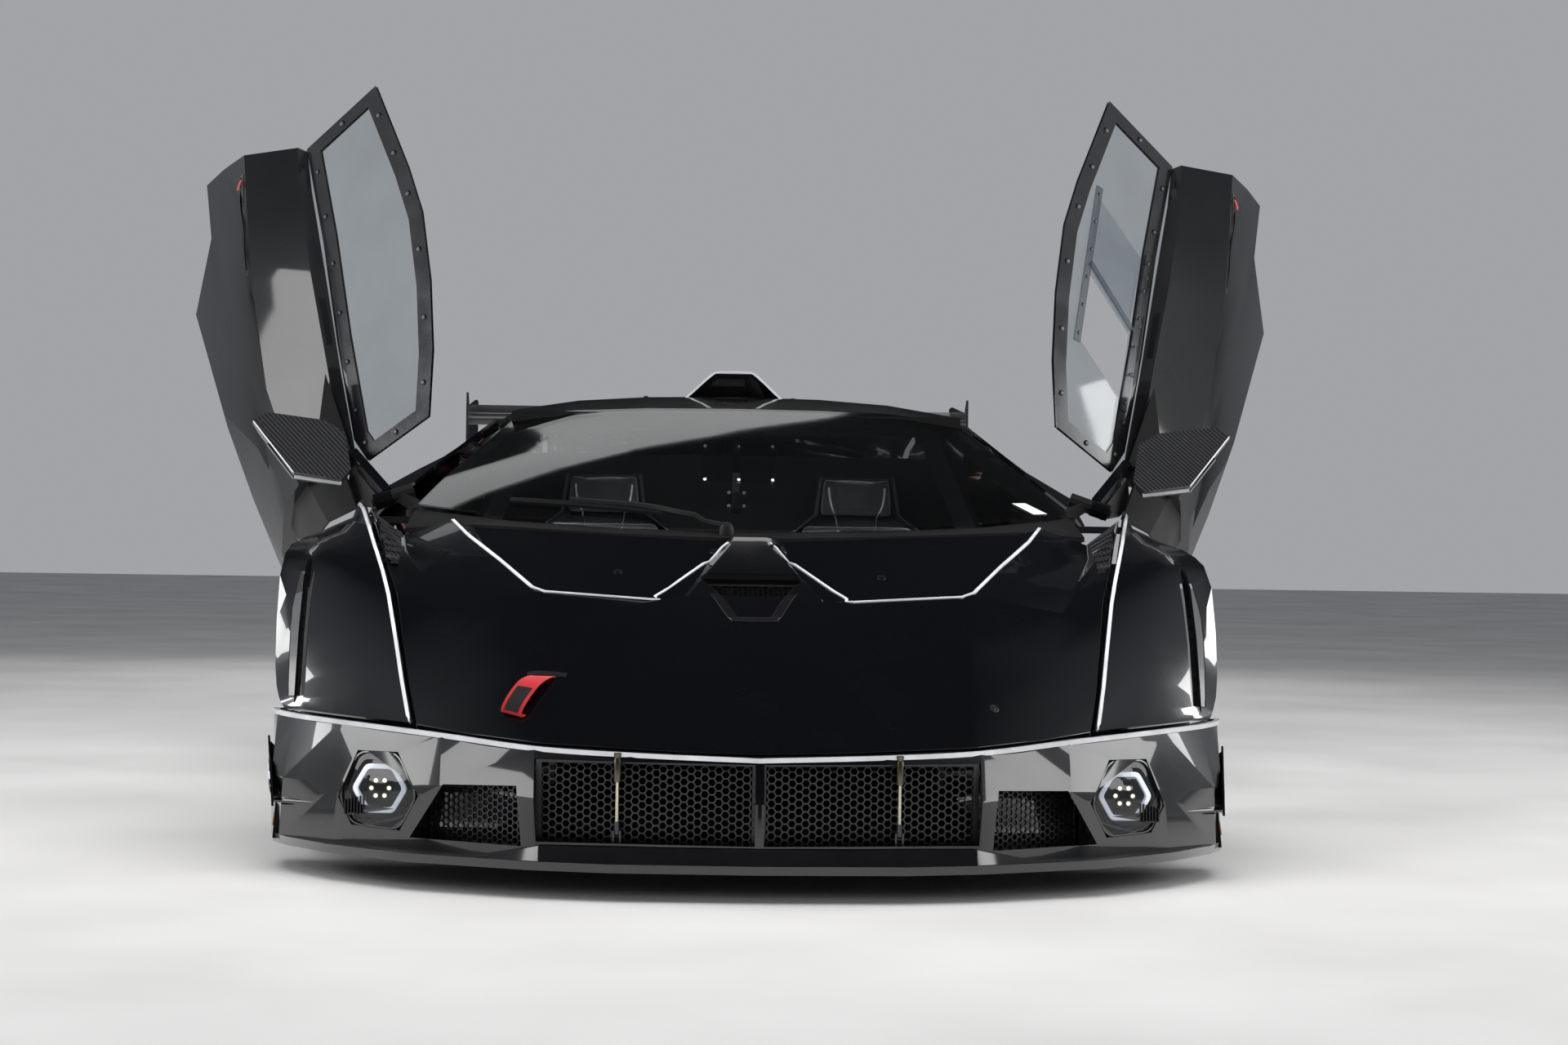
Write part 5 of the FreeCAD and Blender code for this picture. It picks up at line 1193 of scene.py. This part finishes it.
# Steering wheel: round switches on its boss and bars, as places across the wheel and radii
_, wheel_middle, column = joint("steering_column")
wheel_up = Vector((0, -0.3, 1)).normalized()
wheel_skin = skin_of("steering_wheel")
switches = Form()
for x, up_by, radius in ((0.045, 0.0, 0.008), (-0.045, 0.0, 0.008), (0.068, 0.0, 0.007), (-0.068, 0.0, 0.007),
                         (0.0, 0.018, 0.008), (-0.017, -0.012, 0.007), (0.017, -0.012, 0.007)):
    start = wheel_middle + Vector((x, 0, 0)) + wheel_up * up_by + column * 0.05
    point, _ = spot_on(wheel_skin, start, -column)
    switches.lathe([(-0.001, radius), (0.004, radius * 0.95), (0.005, radius * 0.7)], point, column, 14)
switches.make("wheel_switches", PALE_CAPS, "trim", "steering_wheel", smooth=30.0)

# Dashboard: driver's display, a row of switches and three round vents
VENT = [(-0.002, 0.036), (0.007, 0.036), (0.007, 0.029), (0.0, 0.027)]
VENT_RADIUS = 0.028
dash_skin = skin_of("dashboard")


def on_dash(x, z):
    return spot_on(dash_skin, (x, -0.86, z), (0, -1, 0))


outline = rounded(oblong(-0.1, -0.03, 0.1, 0.032), 0.012)
point, normal = on_dash(SEAT_X, 0.65)
display = Form().rings([[point + Vector((a * share, 0, b * share)) + normal * lift for a, b in outline]
                        for share, lift in ((1.0, 0.0), (1.0, 0.008), (0.94, 0.01))])
display.make("driver_display", DISPLAY, "trim", bevel=0.001)
keys, vents = Form(), Form()
for k in range(7):
    point, normal = on_dash(-0.09 + 0.03 * k, 0.6)
    keys.lathe([(-0.001, 0.0075), (0.006, 0.007), (0.007, 0.004)], point, normal, 12)
    vents.lathe(oblong(-0.001, 0.009, 0.002, 0.011), point, normal, 16, closed=True)
for x in (-0.52, 0.57, -0.2):
    point, normal = on_dash(x, 0.63)
    vents.lathe(VENT, point, normal, 24, closed=True)
    for k in range(-2, 3):
        rise = k * 0.0105
        reach = math.sqrt(VENT_RADIUS ** 2 - rise ** 2)
        low, high = Vector((-reach, -0.002, rise - 0.001)), Vector((reach, 0.005, rise + 0.001))
        vents.block(point + low, point + high)
keys.make("dash_switches", PALE_CAPS, "trim", smooth=30.0)
vents.make("dash_vents", GLOSS, "trim", smooth=30.0)

# Two clear bolted plates and a dark bar behind the windscreen. A plate is its x range, its upper and lower
# edges as y and z, and the shares of its width where it is bolted.
CAMERA_PLATES = (((-0.094, 0.1), (-0.51, 0.972), (-0.55, 0.872), (0.04, 0.5, 0.96)),
                 ((-0.03, 0.022), (-0.6, 0.845), (-0.616, 0.806), (0.12, 0.88)))
plates, screws, beam = Form(), Form(), Form()
for (x0, x1), top, low, shares in CAMERA_PLATES:
    a, b, c, d = (Vector((x, y, z)) for x, (y, z) in ((x0, top), (x1, top), (x1, low), (x0, low)))
    plates.prism([a, b, c, d], (0, 0.003, 0))
    for u in shares:
        for w in (0.06, 0.94):
            screws.screw(a.lerp(b, u).lerp(d.lerp(c, u), w), (0, -1, 0.1), 0.0045, 0.003)
beam.block((-0.075, -0.53, 0.992), (0.075, -0.49, 1.008))
beam.block((-0.012, -0.515, 0.8), (0.006, -0.5, 1.0))
beam.block((-0.02, -0.62, 0.79), (0.012, -0.5, 0.802))
plates.make("camera_plates", PANE, "clear", bevel=0.0008)
screws.make("camera_plate_screws", SILVER, "trim", smooth=30.0)
beam.make("camera_bar", MATTE, "trim", bevel=0.003)

# Blank white label on the windscreen
LABEL = ((0.69, -1.11, 0.82), (0.735, -1.185, 0.795), (0.70, -1.20, 0.79), (0.655, -1.125, 0.81))
corners, ways = laid(skin_of("windscreen"), LABEL, (0, 0.4, -1), 0.0012)
Form().prism(corners, ways[0] * 0.0006).make("blank_label", WHITE, "trim")


# Wheels, drawn about the left ones' axles
WHEELS = {
    # width of the tyre, radius of the rim, blocks round the tread
    "front": (0.296, 0.246, 66),
    "rear": (0.336, 0.258, 70),
}
# Grooves as shares of the width
GROOVES = (-0.27, -0.09, 0.09, 0.27)
GROOVE_HALF = 0.0045
GROOVE_SLOPE = 0.0012
GROOVE_DEEP = 0.0065
SIPE_DEEP = 0.0045
SLANT = 0.55
SIDEWALL, FLOOR, RIB = range(3)
AXLE, MIDDLE = (1, 0, 0), (0, 0, 0)


def tyre_profile(radius, width, rim):
    """(along, radius, kind) from the inner bead to the outer one."""
    side = [(0.014, rim), (0.009, rim + 0.008), (0.003, rim + 0.02), (0, rim + 0.034), (0, rim + 0.045),
            (0.0028, rim + 0.047), (0.0028, rim + 0.05), (0.0006, rim + 0.053), (0.005, radius - 0.024),
            (0.013, radius - 0.009)]
    side = [(a - width / 2, r, SIDEWALL) for a, r in side] + [(0.028 - width / 2, radius - 0.001, RIB)]
    tread = []
    for groove in GROOVES:
        middle = groove * width
        foot = GROOVE_HALF - GROOVE_SLOPE
        tread += [(middle - GROOVE_HALF, radius, RIB), (middle - foot, radius - GROOVE_DEEP, FLOOR),
                  (middle + foot, radius - GROOVE_DEEP, FLOOR), (middle + GROOVE_HALF, radius, RIB)]
    return side + tread + [(-a, r, kind) for a, r, kind in side[::-1]]


def tyre(radius, width, rim, count):
    """Tyre with ribs cut into slanted blocks: one block at each step of the turn, then a narrow sipe."""
    profile = tyre_profile(radius, width, rim)
    rings = []
    pitch = 2 * math.pi / count
    for k in range(count):
        for share, in_sipe in ((0.0, False), (0.86, False), (0.88, True), (0.98, True)):
            ring = []
            for a, r, kind in profile:
                slant = SLANT * pitch * abs(a) / (width / 2) if r > radius - 0.03 else 0.0
                on_shoulder = abs(a) > width * 0.29
                cut = SIPE_DEEP if in_sipe and kind == RIB and on_shoulder else 0.0
                t = (k + share) * pitch + slant
                ring.append((a, (r - cut) * math.cos(t), (r - cut) * math.sin(t)))
            rings.append(ring)
    return Form().rings(rings + rings[:1], closed=False, caps=False)


def rim_bolts(width, rim):
    bolts = Form()
    for a, b in oval(rim - 0.012, rim - 0.012, 30, 0.5):
        bolts.screw((width / 2 - 0.021, a, b), AXLE, 0.0042, 0.004)
    return bolts


def center_nut():
    """Six-sided nut in a round washer, with the five screws round it."""
    head = [(0.072, 0.036), (0.098, 0.036), (0.102, 0.033), (0.102, 0.02), (0.094, 0.018)]
    washer = [(0.078, 0.045), (0.086, 0.045), (0.088, 0.043), (0.088, 0.034)]
    nut = Form().lathe(head, MIDDLE, AXLE, 6).lathe(washer, MIDDLE, AXLE, 32, closed=True)
    for a, b in oval(0.053, 0.053, 5):
        nut.screw((0.0795, a, b), AXLE, 0.005, 0.004)
    return nut


for which, (width, rim, count) in WHEELS.items():
    _, axle, _ = joint(f"roll_{which}_left")
    edge = width / 2 - 0.0095
    lip = Form().lathe(oblong(edge - 0.004, rim - 0.004, edge, rim + 0.004), MIDDLE, AXLE, 72, closed=True)
    parts = (("tyre", tyre(axle.z, width, rim, count), TYRE, "tyre", 28.0),
             ("rim_edge", lip, RIM, "rim", 35.0),
             ("rim_bolts", rim_bolts(width, rim), SILVER, "rim", 35.0),
             ("centre_nut", center_nut(), CENTER, "rim", 35.0))
    for side, flip in SIDES:
        for name, form, mat, slot, smooth in parts:
            obj = form.make(f"{name}_{which}_{side}_detail", mat, slot, f"wheel_{which}_{side}",
                            place=flip @ Matrix.Translation(axle), smooth=smooth)
            if name == "tyre":
                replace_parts(obj, f"tyre_{which}_{side}")


# Angled blades in the six openings of the engine cover, on both sides of its spine
FIRST_BLADE_Y, BLADE_PITCH = 0.5, 0.14
BLADE_X, BLADE_LONG = 0.064, 0.372
blades = Form()
deck_skin = skin_of("engine_cover")
for k in range(6):
    rows = []
    for u in range(9):
        x = BLADE_X + (BLADE_LONG - 0.006 * k) * u / 8
        y = FIRST_BLADE_Y + BLADE_PITCH * k + 0.03 * u / 8
        (front, back), _ = laid(deck_skin, [(x, y - 0.006, 1.2), (x, y + 0.09, 1.2)], DOWN)
        middle = front.lerp(back, 0.62) + DOWN * 0.012
        halfway = front.lerp(middle, 0.5)
        rows.append([front + Vector((0, 0.008, -0.004)), halfway + UP * 0.001, middle,
                     middle + Vector((0, 0.001, -0.004)), halfway + DOWN * 0.004,
                     front + Vector((0, 0.008, -0.009))])
    blades.rings(rows)
blades.both("deck_blades", CARBON, "carbon", smooth=25.0)

# Round tips on the four pipes
REARWARD = (0, 1, 0)
TIP = [(-0.07, 0.0475), (-0.004, 0.049), (0.004, 0.0478), (0.005, 0.0455), (0.002, 0.0425), (-0.012, 0.041),
       (-0.07, 0.0405)]
tips, liners = Form(), Form()
for x in (-0.172, -0.062, 0.062, 0.172):
    center = Vector((x, 2.19, 0.68))
    tips.lathe(TIP, center, REARWARD, 48, closed=True)
    # Near-black liner that closes the pipe a little way in: soot on its walls, and painted shade where the pipe
    # runs on
    liners.lathe([(-0.068, 0.0404), (-0.09, 0.038), (-0.1, 0.012)], center, REARWARD, 32)
    for a, b in oval(1.0, 1.0, 8):
        outward = Vector((a, 0, b))
        tips.screw(center + outward * 0.0487 + Vector((0, -0.045, 0)), outward, 0.003, 0.002)
tips.make("pipe_tips", TITANIUM, "exhaust", smooth=40.0)
liners.make("pipe_liners", SOOT_AND_SHADE, "exhaust", smooth=40.0)

# Screws of the wing's end plates and necks, as y and z, and of the deck, as x and y
PLATE_SCREWS = ((1.97, 1.12), (2.07, 1.128), (2.17, 1.124), (2.28, 1.15), (2.36, 1.166))
DECK_SCREWS = ((0.46, 0.44), (0.46, 0.72), (0.455, 1.0), (0.45, 1.28), (0.3, 1.36), (0.1, 1.38), (0.1, 0.44))
plate = Form().screws_on(skin_of("rear_wing"), [(0.9, y, z) for y, z in PLATE_SCREWS], INWARD, 0.0065, 0.004)
plate.both("wing_screws", SILVER, "trim")
rear_skin = skin_of("engine_cover", "quarter_left", "rear_bumper")
deck = Form().screws_on(rear_skin, [(x, y, 1.2) for x, y in DECK_SCREWS], DOWN, 0.007, 0.003)
deck.both("deck_screws", SILVER, "trim")


# Studio: a pale floor, a dim room in the reflections and soft lamps that the camera doesn't see
def ground():
    size = 30
    mesh = bpy.data.meshes.new("studio_floor")
    mesh.from_pydata([(x, y, 0) for x, y in oblong(-size, -size, size, size)], [], [(0, 1, 2, 3)])
    floor = bpy.data.objects.new("studio_floor", mesh)
    scene.collection.objects.link(floor)
    s = Shader("pale_floor")
    n = s.noise(1.2, 6.0)
    s.color(s.ramp(n, [(0.3, (0.62, 0.61, 0.6)), (0.75, (0.68, 0.67, 0.66))]))
    s.rough(s.span(n, 0.42, 0.52))
    s.bump(s.noise(60.0, 4.0), 0.05, 0.001)
    mesh.materials.append(s.mat)


def softbox(name, place, aim, size, power, shine=True, roll=0.0):
    """Lamp that faces aim. Without shine, nothing mirrors it."""
    data = bpy.data.lights.new(name, "AREA")
    data.shape = "RECTANGLE"
    data.size, data.size_y = size
    data.energy = power
    lamp = bpy.data.objects.new(name, data)
    scene.collection.objects.link(lamp)
    way = Vector(aim) - Vector(place)
    turn = Matrix.Rotation(math.radians(roll), 4, "Z")
    lamp.matrix_world = Matrix.Translation(place) @ way.to_track_quat("-Z", "Y").to_matrix().to_4x4() @ turn
    lamp.visible_glossy = shine
    lamp.visible_camera = False


def room():
    """Pale grey behind the object. Its reflections see a dim room that gets lighter toward the sides."""
    world = bpy.data.worlds.new("soft_room")
    scene.world = world
    world.use_nodes = True
    tree = world.node_tree
    link = tree.links.new
    seen, dim, fill = (tree.nodes["Background"], tree.nodes.new("ShaderNodeBackground"),
                       tree.nodes.new("ShaderNodeBackground"))
    seen.inputs["Color"].default_value = (0.36, 0.37, 0.39, 1.0)
    seen.inputs["Strength"].default_value = 1.0
    fill.inputs["Color"].default_value = (0.30, 0.31, 0.33, 1.0)
    split = tree.nodes.new("ShaderNodeSeparateXYZ")
    link(tree.nodes.new("ShaderNodeTexCoord").outputs["Generated"], split.inputs[0])
    sideways = tree.nodes.new("ShaderNodeMath")
    sideways.operation = "ABSOLUTE"
    link(split.outputs["X"], sideways.inputs[0])
    tone = tree.nodes.new("ShaderNodeValToRGB")
    for element, (place, grey) in zip(tone.color_ramp.elements, ((0.35, 0.014), (0.95, 0.34))):
        element.position = place
        element.color = (grey * 0.94, grey * 0.98, grey * 1.04, 1.0)
    link(sideways.outputs[0], tone.inputs[0])
    link(tone.outputs[0], dim.inputs["Color"])
    ray = tree.nodes.new("ShaderNodeLightPath")
    shown = fill.outputs[0]
    for kind, background in (("Is Glossy Ray", dim), ("Is Camera Ray", seen)):
        mix = tree.nodes.new("ShaderNodeMixShader")
        link(ray.outputs[kind], mix.inputs[0])
        link(shown, mix.inputs[1])
        link(background.outputs[0], mix.inputs[2])
        shown = mix.outputs[0]
    link(shown, tree.nodes["World Output"].inputs["Surface"])


ground()
room()
softbox("ceiling", (0.0, -1.5, 5.2), (0.0, 0.0, 0.0), (7.0, 5.0), 420.0, False)
softbox("front_fill", (0.0, -9.5, 3.2), (0.0, 0.0, 0.5), (6.0, 2.5), 160.0, False)
softbox("rear_wall", (0.0, 7.5, 2.6), (0.0, 1.5, 0.6), (4.0, 0.8), 90.0, False)
softbox("cabin_light", (0.0, -0.4, 0.95), (0.0, -0.1, 0.3), (0.9, 0.4), 9.0, False)
softbox("high_band", (-0.9, 6.9, 5.1), (-0.2, -1.0, 0.9), (5.4, 0.8), 9.0, roll=18.0)
for side, sign in (("left", 1), ("right", -1)):
    softbox(f"nose_card_{side}", (sign * 4.9, -4.3, 4.1), (sign * 0.6, -2.2, 0.3), (1.8, 1.0), 24.0)
    softbox(f"fender_card_{side}", (sign * 6.2, -2.4, 2.7), (sign * 0.8, -2.1, 0.25), (1.4, 1.8), 34.0)
    softbox(f"side_wall_{side}", (sign * 6.5, 1.0, 2.2), (0.0, 0.0, 0.6), (4.0, 1.2), 90.0)
